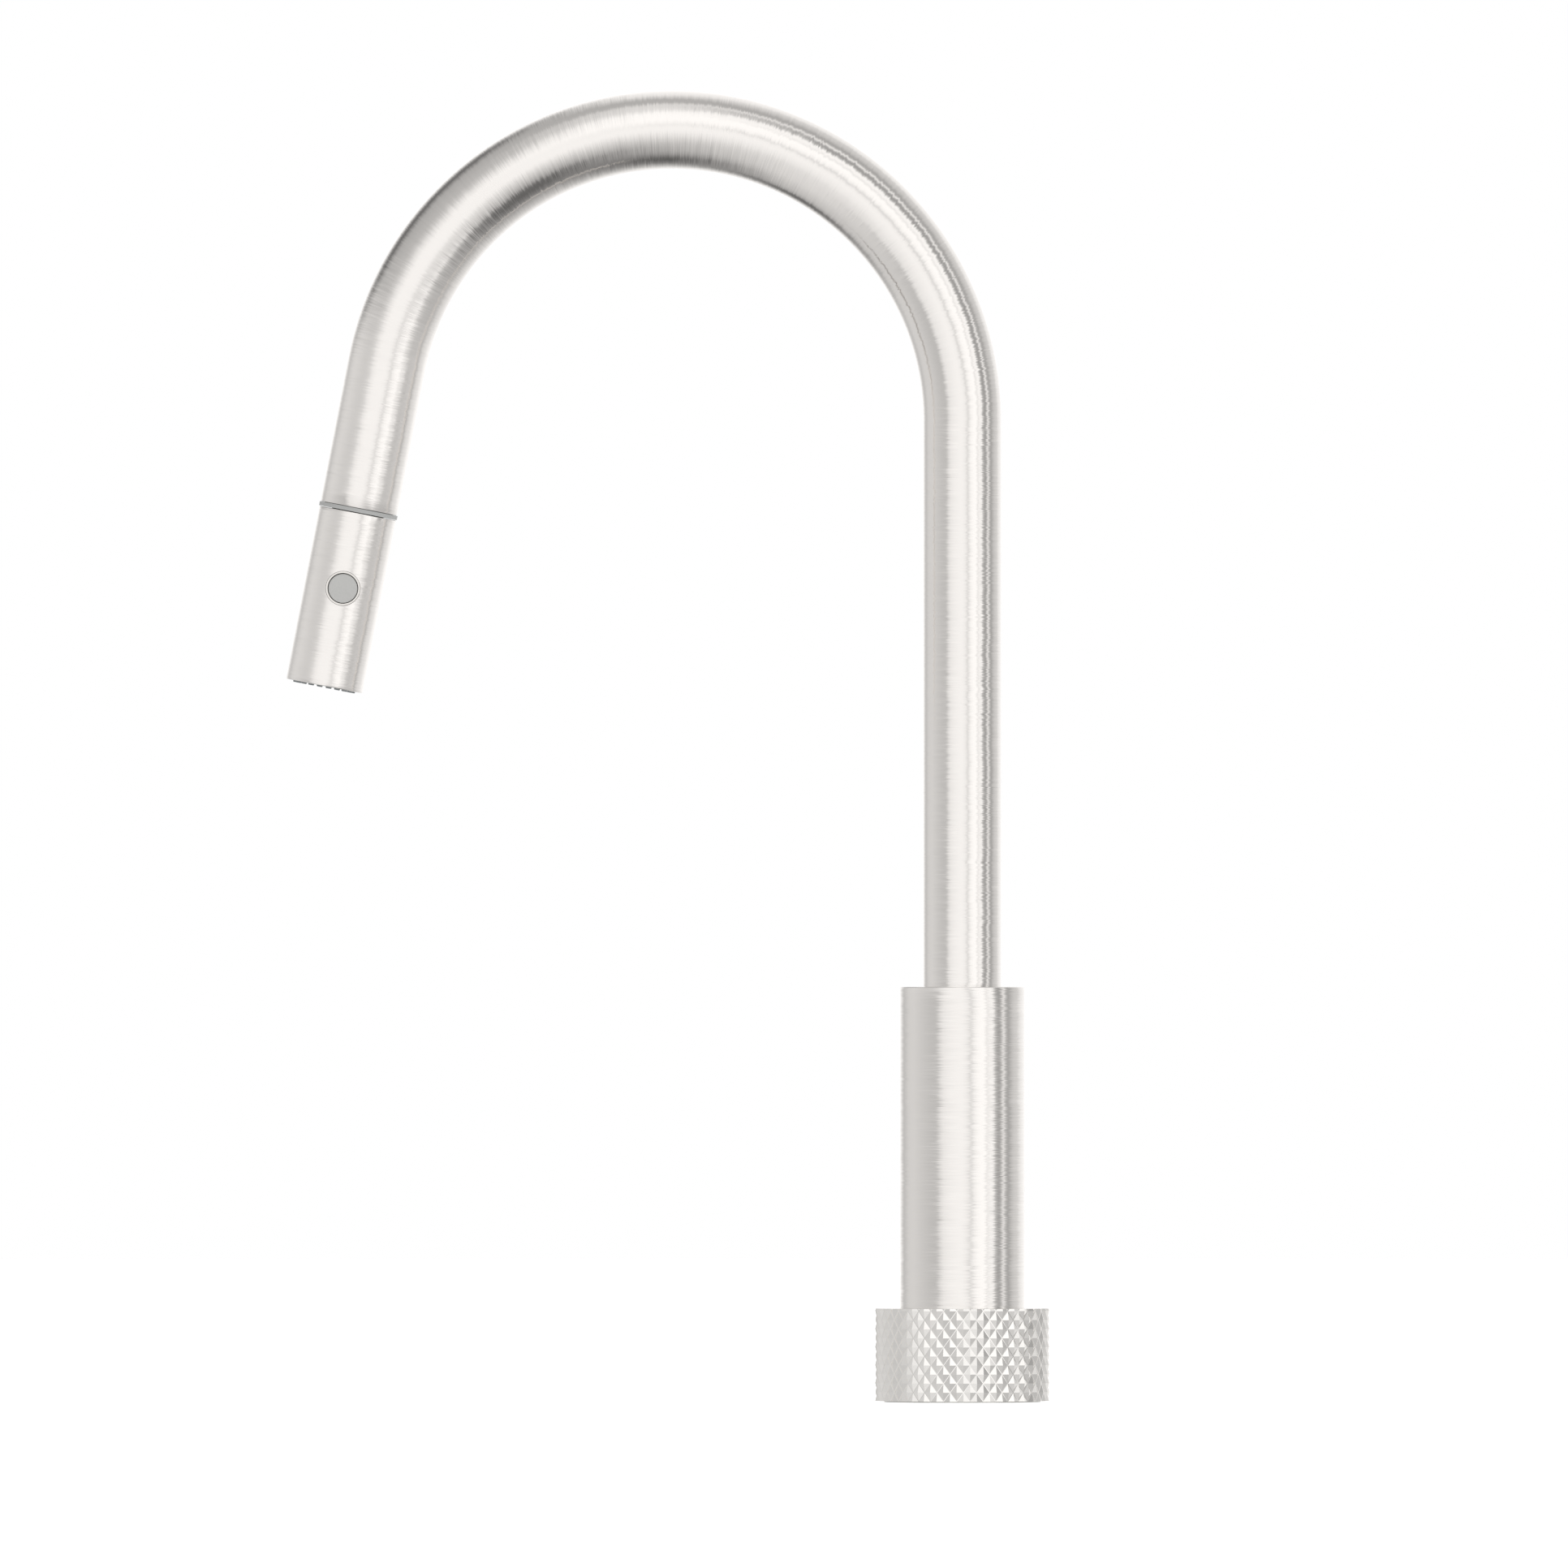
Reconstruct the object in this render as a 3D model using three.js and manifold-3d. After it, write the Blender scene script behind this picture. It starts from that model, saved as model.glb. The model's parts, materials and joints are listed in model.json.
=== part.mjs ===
// A single-hole pull-down kitchen faucet with a gooseneck spout. A diamond-knurled ring round the foot of the
// body turns one of two annular ceramic discs, so the ring alone takes the water from off through cold to
// hot. The spray hose runs up the middle of everything: the shank, the discs, the body and the spout. It ends
// in a spray head, which docks in the spout's end and has a push button for stream or spray.
//
// Millimetres and degrees, +Z up. The origin is on the body's axis at the level of the deck, and the spout
// reaches towards -X. The button faces -Y.
import * as THREE from "three";
import { mergeVertices } from "three/addons/utils/BufferGeometryUtils.js";
import Module from "manifold-3d";

const wasm = await Module();
wasm.setup();

// ---------------------------------------------------------------- driving dimensions

// Clearances: between parts that are fixed together, and between parts that move past each other.
const fixedGap = 0.2;
const runGap = 0.4;
const faceGap = 0.1;

// How far a cutting shape runs on past the face it cuts.
const overcut = 1;

// Spout tube: up from the body, round the bend, and down a straight leg that leans out.
const tubeDiameter = 25;
const tubeWall = 1.2;
const bendRadius = 93.2;
const riserHeight = 181.8;
const legTilt = 11;
const legLength = 46.9;
const spoutSwing = 60;

// Body sleeve.
const bodyDiameter = 40;
const bodyWall = 2.5;
const bodyHeight = 133.2;
const bodyRoof = 3.5;

// Foot that stands on the deck, and stands out round the body.
const footLedge = 5;
const footThickness = 3;
const bossHeight = 6;
const floorHeight = 12;
const guideSeatDepth = 2.5;
const gasketThickness = 1.1;
const gasketLand = 1.6;

// Control ring and its diamond knurl.
const ringRim = 1.75;
const ringHeight = 29.7;
const ringLift = 0.35;
const ringChamfer = 0.25;
const knurlDepth = 0.85;
const knurlColumns = 40;
const knurlHalfRow = 2.9;
const ringTravel = 100;
const bandThickness = 1.4;
const bandHeight = 4;
const bandLift = 1;
const lipBandHeight = 1.8;
const ringLip = 1;

// Ceramic disc valve.
const discThickness = 3.4;
const driverHeight = 6;
const pinDiameter = 4.8;
const pinGrip = 4;
const pinLand = 2;
const thrustThickness = 0.9;
const clampNutHeight = 6;
const portDiameter = 4.4;
const portSealWidth = 0.9;
const portSealDepth = 1;
const pocketBypass = 2.6;
const portMargin = 2;
const guideWall = 0.7;

// Hose, and the supply and outlet pipes beside it in the shank.
const hoseDiameter = 12;
const hoseSpace = 0.5;
const hoseJoin = 2;
const pipeDiameter = 6.4;
const pipeWall = 1;
const pipeSocketDepth = 5;
const socketWall = 0.8;
const pipeDrop = 88;
const pipeCollarLength = 9;
const pipeCollarWidth = 1.3;

// Shank and what clamps it to the deck.
const shankWall = 1.7;
const shankLength = 62;
const shankSocketDepth = 4;
const deckThickness = 30;
const rubberWasherThickness = 3;
const steelWasherThickness = 1.5;
const washerDiameter = 50;
const nutHeight = 12;
const nutAcrossFlats = 42;
const tailFittingLength = 13;
const tailDrop = 2;
const tailStep = 1;
const tailRim = 0.6;

// Spout bearing inside the body.
const tubeInsert = 15;
const bearingDepth = 45;
const bearingFloor = 3;
const connectorSpigot = 12;
const slipRingHeight = 4;
const slipRingDepth = 1.2;
const grooveLand = 1;
const oRingSection = 2.2;
const sealWidth = 1.8;
const sealGrooveDepth = 1;
const stopScrewDiameter = 4;
const stopScrewDogDiameter = 3.2;
const stopScrewSocketDiameter = 2.2;
const stopGrooveDepth = 1.9;

// Dock at the spout's end.
const dockRingThickness = 1.3;
const dockRingProud = 0.2;
const dockDepth = 12;
const dockLip = 2;
const neckDiameter = 17;
const neckLength = 10.2;

// Spray head.
const headLength = 56.5;
const headWall = 1.2;
const neckFlange = 3;
const neckThreadLength = 4.2;
const neckThreadDiameter = 16;
const ferruleDiameter = 14.4;
const ferruleLength = 13.8;
const ferruleFloor = 1;
const swivelDiameter = 9.4;
const swivelLength = 12;
const swivelWall = 2;
const checkValveDiameter = 9.2;
const checkValveLength = 8;
const valvePassage = 4;
const streamPassage = 4.8;
const sprayPassage = 2.4;
const sprayPassageInset = 3.6;
const buttonDiameter = 9.4;
const buttonFromTop = 24.6;
const buttonTravel = 1.5;
const buttonThickness = 2.1;
const buttonEdge = 0.35;
const bezelWidth = 0.6;
const bezelDepth = 3.4;
const bezelProud = 0.2;
const springWire = 0.5;
const springTurns = 3.5;
const springRoom = 2;
const springFloor = 1;
const springSideGap = 0.6;
const spoolDiameter = 6.2;
const spoolLength = 10.5;
const spoolWaist = 0.8;
const spoolLand = 2;
const faceRecess = 0.4;
const facePlateThickness = 3;
const nozzleCount = 20;
const nozzleDiameter = 1.8;
const nozzleCircle = 18.6;
const nozzleProud = 0.5;
const matThickness = 1.2;
const chamberHeight = 7.8;
const chamberWall = 1;
const chamberRoof = 2;
const aeratorDiameter = 12;
const aeratorLength = 10.2;
const aeratorRim = 1;
const aeratorCup = 4;

// How many flat sides stand for a circle: large, middling and small ones.
const fine = 28;
const medium = 18;
const coarse = 10;
const tiny = 6;
const tubeSides = 20;
const hoseSides = 8;
const bendSteps = 14;
const springStepsPerTurn = 8;

// ---------------------------------------------------------------- sizes worked out from those

const rad = THREE.MathUtils.degToRad;
const tubeR = tubeDiameter / 2;
const tubeBoreR = tubeR - tubeWall;
const bodyR = bodyDiameter / 2;
const bodyBoreR = bodyR - bodyWall;
const footR = bodyR + footLedge;
const hoseR = hoseDiameter / 2;
const hoseHoleR = hoseR + hoseSpace;
const pipeR = pipeDiameter / 2;
const pipeSocketR = pipeR + fixedGap;
const pipeCircleR = hoseHoleR + socketWall + pipeSocketR;
const shankBoreR = pipeCircleR + pipeR + runGap;
const shankR = shankBoreR + shankWall;
const bendHeight = bodyHeight + riserHeight;
const guideR = hoseHoleR + guideWall;

// The valve stack, from the floor of the foot up.
const fixedDiscZ = floorHeight;
const turningDiscZ = fixedDiscZ + discThickness + faceGap;
const driverZ = turningDiscZ + discThickness + faceGap;
const pinZ = driverZ + driverHeight / 2;
const thrustZ = driverZ + driverHeight + faceGap;
const clampNutZ = thrustZ + thrustThickness + faceGap;
const clampNutTop = clampNutZ + clampNutHeight;

// The spout's bearing, from its floor up.
const bearingTop = bodyHeight - bodyRoof;
const bearingFloorZ = bodyHeight - bearingDepth - faceGap - thrustThickness - bearingFloor;
const thrustTop = bearingFloorZ + bearingFloor + thrustThickness;
const connectorBottom = thrustTop + faceGap;
const tubeBottom = bodyHeight - tubeInsert;
const lowerSlipZ = connectorBottom + grooveLand;
const spoutSealZ = lowerSlipZ + slipRingHeight + 2 * grooveLand;
const upperSlipZ = tubeBottom - grooveLand - slipRingHeight;
const stopScrewZ = (spoutSealZ + oRingSection + upperSlipZ) / 2;

// The leg is its own frame: its origin is where the bend ends, and its -Z runs down the leg to the outlet.
const legOrigin = new THREE.Vector3(
  -bendRadius * (1 + Math.cos(rad(legTilt))),
  0,
  bendHeight + bendRadius * Math.sin(rad(legTilt)),
);
const dockRingBottom = -legLength - faceGap - dockRingThickness;
const headTop = dockRingBottom - fixedGap;
const headEnd = headTop - headLength;
const neckTop = headTop + neckLength;
const headBoreR = tubeR - headWall;
const housingR = headBoreR - fixedGap;
const housingTop = headTop - fixedGap - neckFlange - faceGap;
const buttonZ = headTop - buttonFromTop;

// ---------------------------------------------------------------- making shapes

// A closed geometry as a manifold-3d solid.
function solidOf(geometry) {
  const bare = new THREE.BufferGeometry().setAttribute("position", geometry.getAttribute("position"));
  bare.setIndex(geometry.index);
  const merged = mergeVertices(bare, 1e-4);
  const triVerts = [];
  for (let i = 0; i < merged.index.count; i += 3) {
    const [a, b, c] = [0, 1, 2].map((k) => merged.index.getX(i + k));
    if (a !== b && b !== c && a !== c) triVerts.push(a, b, c);
  }
  return new wasm.Manifold(
    new wasm.Mesh({
      numProp: 3,
      vertProperties: new Float32Array(merged.attributes.position.array),
      triVerts: new Uint32Array(triVerts),
    }),
  );
}

function geometryOf(solid) {
  const made = solid.getMesh();
  const geometry = new THREE.BufferGeometry();
  geometry.setAttribute("position", new THREE.BufferAttribute(made.vertProperties, 3));
  geometry.setIndex(new THREE.BufferAttribute(made.triVerts, 1));
  geometry.computeVertexNormals();
  return geometry;
}

function cut(geometry, ...tools) {
  return geometryOf(tools.reduce((left, tool) => left.subtract(solidOf(tool)), solidOf(geometry)));
}

function join(geometry, ...others) {
  return geometryOf(others.reduce((left, other) => left.add(solidOf(other)), solidOf(geometry)));
}

// A turned piece round +Z. The profile is [radius, height] points, anticlockwise in the half plane. It starts
// and ends on the axis, or closed = true joins its ends.
function turned(profile, sides, closed = false) {
  const points = profile.map(([r, z]) => new THREE.Vector2(r, z));
  if (closed) points.push(points[0].clone());
  return new THREE.LatheGeometry(points, sides).rotateX(Math.PI / 2);
}

function rod(radius, bottom, top, sides) {
  return turned([[0, bottom], [radius, bottom], [radius, top], [0, top]], sides);
}

function sleeve(innerR, outerR, bottom, top, sides) {
  return turned([[innerR, bottom], [outerR, bottom], [outerR, top], [innerR, top]], sides, true);
}

// A rod that lies along -Y, from one distance off the axis to another, at a height.
function rodTowardsButton(radius, near, far, z, sides) {
  return rod(radius, near, far, sides).rotateX(Math.PI / 2).translate(0, 0, z);
}

// A slice of a ring, from one angle to another.
function arcBlock(innerR, outerR, bottom, top, fromAngle, toAngle) {
  const shape = new THREE.Shape();
  shape.absarc(0, 0, outerR, rad(fromAngle), rad(toAngle), false);
  shape.absarc(0, 0, innerR, rad(toAngle), rad(fromAngle), true);
  const settings = { depth: top - bottom, bevelEnabled: false, curveSegments: 8 };
  return new THREE.ExtrudeGeometry(shape, settings).translate(0, 0, bottom);
}

// A ring with a round section. Its corners line up with those of a turned piece with as many sides.
function oRing(innerR, section, z) {
  const r = section / 2;
  const ring = new THREE.TorusGeometry(innerR + r, r, tiny, medium);
  return ring.rotateZ(-Math.PI / 2).translate(0, 0, z);
}

function placeRound(geometry, angle, radius) {
  return geometry.translate(radius * Math.cos(rad(angle)), radius * Math.sin(rad(angle)), 0);
}

// The spout's centreline: a straight riser, the bend, and a straight leg. Its steps fall at the ends of the
// straight runs and evenly round the bend.
class GooseneckLine extends THREE.Curve {
  constructor(bottomZ, alongLeg) {
    super();
    this.places = [new THREE.Vector3(0, 0, bottomZ)];
    this.directions = [new THREE.Vector3(0, 0, 1)];
    for (let i = 0; i <= bendSteps; i++) {
      const turn = (rad(180 - legTilt) * i) / bendSteps;
      const x = -bendRadius * (1 - Math.cos(turn));
      this.places.push(new THREE.Vector3(x, 0, bendHeight + bendRadius * Math.sin(turn)));
      this.directions.push(new THREE.Vector3(-Math.sin(turn), 0, Math.cos(turn)));
    }
    const down = this.directions.at(-1);
    this.places.push(this.places.at(-1).clone().addScaledVector(down, alongLeg));
    this.directions.push(down.clone());
    this.steps = this.places.length - 1;
  }
  getPointAt(u) {
    return this.places[Math.round(u * this.steps)].clone();
  }
  getTangentAt(u) {
    return this.directions[Math.round(u * this.steps)].clone();
  }
}

function alongGooseneck(outerR, innerR, bottomZ, alongLeg, sides) {
  const section = new THREE.Shape().absarc(0, 0, outerR, 0, 2 * Math.PI, false);
  if (innerR > 0) section.holes.push(new THREE.Path().absarc(0, 0, innerR, 0, 2 * Math.PI, true));
  const line = new GooseneckLine(bottomZ, alongLeg);
  const settings = { steps: line.steps, extrudePath: line, curveSegments: sides / 2 };
  return new THREE.ExtrudeGeometry(section, settings);
}

// ---------------------------------------------------------------- materials

const steel = { color: 0xdcd8d4, roughness: 0.32, metalness: 1 };
const brass = { color: 0xc8a45c, roughness: 0.35, metalness: 1 };
const greyPlastic = { color: 0xb4b7b6, roughness: 0.5, metalness: 0 };
const darkPlastic = { color: 0x303234, roughness: 0.55, metalness: 0 };
const nylon = { color: 0xeeeae0, roughness: 0.6, metalness: 0 };
const rubber = { color: 0x232323, roughness: 0.8, metalness: 0 };
const silicone = { color: 0x55595a, roughness: 0.7, metalness: 0 };
const ceramic = { color: 0xf3f0ea, roughness: 0.2, metalness: 0 };
const braid = { color: 0x9fa3a6, roughness: 0.65, metalness: 0 };

const faucet = new THREE.Group();
const leg = new THREE.Group();
leg.position.copy(legOrigin);
leg.rotation.y = rad(legTilt);
faucet.add(leg);

function add(group, name, geometry, finish) {
  const mesh = new THREE.Mesh(geometry, new THREE.MeshStandardMaterial(finish));
  mesh.name = name;
  group.add(mesh);
}

// ---------------------------------------------------------------- foot, shank and deck fixings

const gasketOuterR = footR - gasketLand;
const gasketInnerR = shankR + fixedGap + gasketLand;
const spigotR = bodyBoreR - fixedGap;
const portR = portDiameter / 2;
const pipes = { cold: 60, hot: 120, mixed: 270 };

function mountingFoot() {
  const blank = turned(
    [
      [hoseHoleR, 0],
      [footR, 0],
      [footR, footThickness],
      [bodyR, footThickness],
      [bodyR, bossHeight],
      [spigotR, bossHeight],
      [spigotR, floorHeight],
      [hoseHoleR, floorHeight],
    ],
    fine,
    true,
  );
  const tools = [
    rod(shankR + fixedGap, -1, shankSocketDepth, fine),
    sleeve(gasketInnerR - fixedGap, gasketOuterR + fixedGap, -1, gasketThickness + faceGap, fine),
    rod(guideR + fixedGap, floorHeight - guideSeatDepth, floorHeight + 1, medium),
  ];
  for (const angle of Object.values(pipes)) {
    const sealR = portR + portSealWidth + fixedGap;
    tools.push(
      placeRound(rod(pipeSocketR, 0, shankSocketDepth + pipeSocketDepth, coarse), angle, pipeCircleR),
      placeRound(rod(portR, 0, floorHeight + 1, coarse), angle, pipeCircleR),
      placeRound(rod(sealR, floorHeight - 1, floorHeight + 1, coarse), angle, pipeCircleR),
    );
  }
  return cut(blank, ...tools);
}

function hexNut(acrossFlats, boreR, bottom, top) {
  const cornerR = acrossFlats / 2 / Math.cos(rad(30));
  const chamfer = cornerR - acrossFlats / 2;
  const hexagon = new THREE.CylinderGeometry(cornerR, cornerR, top - bottom, 6).rotateX(Math.PI / 2);
  hexagon.translate(0, 0, (top + bottom) / 2);
  const rounding = turned(
    [
      [0, bottom],
      [acrossFlats / 2, bottom],
      [cornerR, bottom + chamfer / 2],
      [cornerR, top - chamfer / 2],
      [acrossFlats / 2, top],
      [0, top],
    ],
    medium,
  );
  const rounded = geometryOf(solidOf(hexagon).intersect(solidOf(rounding)));
  return cut(rounded, rod(boreR, bottom - overcut, top + overcut, medium));
}

// A supply or outlet pipe: a tube with a threaded collar on its lower end.
function pipe(angle) {
  const boreR = pipeR - pipeWall;
  const collarR = pipeR + pipeCollarWidth;
  const top = shankSocketDepth + pipeSocketDepth - faceGap;
  const collarTop = -pipeDrop + pipeCollarLength;
  const shape = turned(
    [
      [boreR, -pipeDrop],
      [collarR, -pipeDrop],
      [collarR, collarTop],
      [pipeR, collarTop],
      [pipeR, top],
      [boreR, top],
    ],
    coarse,
    true,
  );
  return placeRound(shape, angle, pipeCircleR);
}

add(faucet, "mounting_foot", mountingFoot(), brass);
add(faucet, "deck_gasket", sleeve(gasketInnerR, gasketOuterR, 0, gasketThickness, fine), rubber);
const shankTop = shankSocketDepth - faceGap;
add(faucet, "threaded_shank", sleeve(shankBoreR, shankR, -shankLength, shankTop, medium), brass);

const washerBoreR = shankR + runGap;
const rubberWasherBottom = -deckThickness - rubberWasherThickness;
const steelWasherBottom = rubberWasherBottom - steelWasherThickness;
const rubberWasher = sleeve(washerBoreR, washerDiameter / 2, rubberWasherBottom, -deckThickness, medium);
const steelWasher = sleeve(washerBoreR, washerDiameter / 2, steelWasherBottom, rubberWasherBottom, medium);
add(faucet, "rubber_washer", rubberWasher, rubber);
add(faucet, "steel_washer", steelWasher, steel);
const fixingNut = hexNut(nutAcrossFlats, shankR + fixedGap, steelWasherBottom - nutHeight, steelWasherBottom);
add(faucet, "fixing_nut", fixingNut, brass);
for (const [name, angle] of Object.entries(pipes)) {
  const seal = sleeve(portR, portR + portSealWidth, floorHeight - portSealDepth, floorHeight, coarse);
  add(faucet, name === "mixed" ? "mixed_outlet_pipe" : name + "_inlet_pipe", pipe(angle), steel);
  add(faucet, name + "_port_seal", placeRound(seal, angle, pipeCircleR), rubber);
}

// ---------------------------------------------------------------- body

const pinR = pinDiameter / 2;
const pinAngles = [90, 270];
const windowHalf = pinR + runGap;
const screwR = stopScrewDiameter / 2;

function stopScrewHole() {
  const hole = rod(screwR + fixedGap, tubeR, bodyR + overcut, coarse);
  return hole.rotateY(Math.PI / 2).translate(0, 0, stopScrewZ);
}

// The sleeve's two windows let the drive pins through, and their ends stop the ring.
function bodySleeve() {
  const blank = turned(
    [
      [bodyBoreR, bossHeight],
      [bodyR, bossHeight],
      [bodyR, bodyHeight],
      [tubeR + runGap, bodyHeight],
      [tubeR + runGap, bearingTop],
      [bodyBoreR, bearingTop],
    ],
    fine,
    true,
  );
  const margin = THREE.MathUtils.radToDeg(windowHalf / bodyBoreR);
  const [low, high] = [pinZ - windowHalf, pinZ + windowHalf];
  const windows = pinAngles.map((angle) =>
    arcBlock(bodyBoreR - overcut, bodyR + overcut, low, high, angle - margin, angle + ringTravel + margin),
  );
  return cut(blank, ...windows, stopScrewHole());
}

// The bush in the top of the body that the spout turns in.
function spoutBearing() {
  const floorTop = bearingFloorZ + bearingFloor;
  const bush = turned(
    [
      [hoseHoleR + runGap, bearingFloorZ],
      [bodyBoreR - fixedGap, bearingFloorZ],
      [bodyBoreR - fixedGap, bearingTop],
      [tubeR + runGap, bearingTop],
      [tubeR + runGap, floorTop],
      [hoseHoleR + runGap, floorTop],
    ],
    fine,
    true,
  );
  return cut(bush, stopScrewHole());
}

// A set screw with a hexagon socket, whose dog point runs in the spout's stop groove.
function stopScrew() {
  const dogR = stopScrewDogDiameter / 2;
  const tip = tubeR - stopGrooveDepth + runGap;
  const shape = turned(
    [
      [0, tip],
      [dogR, tip],
      [dogR, tubeR + runGap],
      [screwR, tubeR + runGap + screwR - dogR],
      [screwR, bodyR - fixedGap],
      [0, bodyR - fixedGap],
    ],
    coarse,
  );
  const socket = rod(stopScrewSocketDiameter / 2, bodyR - screwR, bodyR + overcut, tiny);
  return cut(shape, socket).rotateY(Math.PI / 2).translate(0, 0, stopScrewZ);
}

add(faucet, "body_sleeve", bodySleeve(), steel);
add(faucet, "spout_bearing", spoutBearing(), brass);
add(faucet, "spout_stop_screw", stopScrew(), steel);
const thrustWasher = sleeve(hoseHoleR + runGap, tubeR, bearingFloorZ + bearingFloor, thrustTop, medium);
add(faucet, "spout_thrust_washer", thrustWasher, nylon);

// ---------------------------------------------------------------- ceramic disc valve

const discR = bodyBoreR - runGap;
const discHoleR = guideR + runGap;
const portSpan = THREE.MathUtils.radToDeg(portR / pipeCircleR);

function fixedDisc() {
  const blank = sleeve(discHoleR, discR, fixedDiscZ, fixedDiscZ + discThickness, fine);
  const [low, high] = [fixedDiscZ - overcut, fixedDiscZ + discThickness + overcut];
  const ports = Object.values(pipes).map((angle) =>
    placeRound(rod(portR, low, high, coarse), angle, pipeCircleR),
  );
  return cut(blank, ...ports);
}

// The turning disc's pocket joins the inlets to the outlet: cold first, then both. The land in it shuts the
// cold off again at the end of the ring's travel, and the pocket runs on round the outside of the land.
function turningDisc() {
  const blank = sleeve(discHoleR, discR, turningDiscZ, turningDiscZ + discThickness, fine);
  const pocketTop = turningDiscZ + discThickness / 2;
  const start = pipes.hot + portSpan + portMargin;
  const end = 360 + pipes.cold - portSpan - portMargin;
  const landStart = end - ringTravel;
  const landEnd = landStart + 2 * (portSpan + portMargin);
  const [near, far] = [pipeCircleR - portR, pipeCircleR + portR];
  const cutFrom = turningDiscZ - overcut;
  const pocket = arcBlock(near, far + pocketBypass, cutFrom, pocketTop, start, end);
  const [landLow, landHigh] = [cutFrom - overcut, pocketTop + overcut];
  const land = arcBlock(near - overcut, far + fixedGap, landLow, landHigh, landStart, landEnd);
  return cut(blank, cut(pocket, land));
}

function pin(angle, innerR, outerR, radius) {
  return rod(radius, innerR, outerR, coarse).rotateY(Math.PI / 2).rotateZ(rad(angle)).translate(0, 0, pinZ);
}

const pinOuterR = bodyR + runGap + pinGrip;
const pinInnerR = guideR + runGap + pinLand;

function discDriver() {
  const blank = sleeve(discHoleR, discR, driverZ, driverZ + driverHeight, fine);
  const holes = pinAngles.map((angle) => pin(angle, pinInnerR - fixedGap, bodyR, pinR + fixedGap));
  return cut(blank, ...holes);
}

add(faucet, "fixed_ceramic_disc", fixedDisc(), ceramic);
add(faucet, "turning_ceramic_disc", turningDisc(), ceramic);
add(faucet, "disc_driver", discDriver(), darkPlastic);
for (const angle of pinAngles) {
  const name = angle < 180 ? "drive_pin_back" : "drive_pin_front";
  add(faucet, name, pin(angle, pinInnerR, pinOuterR, pinR), steel);
}
const thrustRing = sleeve(discHoleR, discR, thrustZ, thrustZ + thrustThickness, medium);
add(faucet, "driver_thrust_ring", thrustRing, nylon);
add(faucet, "valve_clamp_nut", sleeve(discHoleR, spigotR, clampNutZ, clampNutTop, medium), brass);
const guideBottom = floorHeight - guideSeatDepth + faceGap;
add(faucet, "hose_guide_tube", sleeve(hoseHoleR, guideR, guideBottom, clampNutTop, medium), nylon);

// ---------------------------------------------------------------- control ring

const footBoreR = footR + runGap;
const valleyR = footBoreR + ringRim;
const tipR = valleyR + knurlDepth;
const ringBottom = ringLift;
const ringTop = ringLift + ringHeight;
const ringBoreR = bodyR + runGap;
const bandOuterR = ringBoreR + bandThickness;
const lowerBandZ = bossHeight + bandLift;
const lipBandZ = ringTop - ringLip - lipBandHeight;

// A blank whose outside is a field of four-sided pyramids. Tips and valley crossings take turns along each
// row and column, every valley runs diagonally between two crossings, and a plain edge closes each end.
function knurledBlank() {
  const columns = 2 * knurlColumns;
  const rows = Math.floor(ringHeight / knurlHalfRow);
  const upperEdge = ringHeight - rows * knurlHalfRow - ringChamfer;
  const positions = [];
  const indices = [];
  const addRow = (z, radiusOf) => {
    for (let column = 0; column < columns; column++) {
      const r = radiusOf(column);
      const angle = (column * 2 * Math.PI) / columns;
      positions.push(r * Math.cos(angle), r * Math.sin(angle), z);
    }
  };
  addRow(ringBottom, () => valleyR);
  for (let row = 0; row <= rows; row++) {
    const z = ringBottom + ringChamfer + row * knurlHalfRow;
    addRow(z, (column) => ((column + row) % 2 ? valleyR : tipR));
  }
  addRow(ringBottom + ringChamfer + rows * knurlHalfRow + upperEdge, () => valleyR);
  for (let row = 0; row < rows + 2; row++) {
    for (let column = 0; column < columns; column++) {
      const next = (column + 1) % columns;
      const [a, b] = [row * columns + column, row * columns + next];
      const [c, d] = [a + columns, b + columns];
      if ((column + row) % 2) indices.push(a, b, c, b, d, c);
      else indices.push(a, b, d, a, d, c);
    }
  }
  const bottomCentre = positions.length / 3;
  const lastRow = (rows + 2) * columns;
  positions.push(0, 0, ringBottom, 0, 0, ringTop);
  for (let column = 0; column < columns; column++) {
    const next = (column + 1) % columns;
    indices.push(bottomCentre, next, column);
    indices.push(bottomCentre + 1, lastRow + column, lastRow + next);
  }
  const geometry = new THREE.BufferGeometry();
  geometry.setAttribute("position", new THREE.Float32BufferAttribute(positions, 3));
  geometry.setIndex(indices);
  return geometry;
}

function controlRing() {
  const bore = turned(
    [
      [0, 0],
      [footBoreR, 0],
      [footBoreR, footThickness + runGap],
      [ringBoreR, footThickness + runGap],
      [ringBoreR, lowerBandZ - faceGap],
      [bandOuterR + fixedGap, lowerBandZ - faceGap],
      [bandOuterR + fixedGap, lowerBandZ + bandHeight + faceGap],
      [ringBoreR, lowerBandZ + bandHeight + faceGap],
      [ringBoreR, lipBandZ - faceGap],
      [bandOuterR + fixedGap, lipBandZ - faceGap],
      [bandOuterR + fixedGap, lipBandZ + lipBandHeight + faceGap],
      [ringBoreR, lipBandZ + lipBandHeight + faceGap],
      [ringBoreR, ringTop + overcut],
      [0, ringTop + overcut],
    ],
    fine,
  );
  const pinHoles = pinAngles.map((angle) => pin(angle, bodyR, pinOuterR + fixedGap, pinR + fixedGap));
  return cut(knurledBlank(), bore, ...pinHoles);
}

const bandInnerR = bodyR + runGap / 2;
add(faucet, "control_ring", controlRing(), steel);
const lowerBand = sleeve(bandInnerR, bandOuterR, lowerBandZ, lowerBandZ + bandHeight, fine);
const lipBand = sleeve(bandInnerR, bandOuterR, lipBandZ, lipBandZ + lipBandHeight, fine);
add(faucet, "lower_ring_band", lowerBand, nylon);
add(faucet, "upper_ring_band", lipBand, nylon);

// ---------------------------------------------------------------- spout

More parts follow.
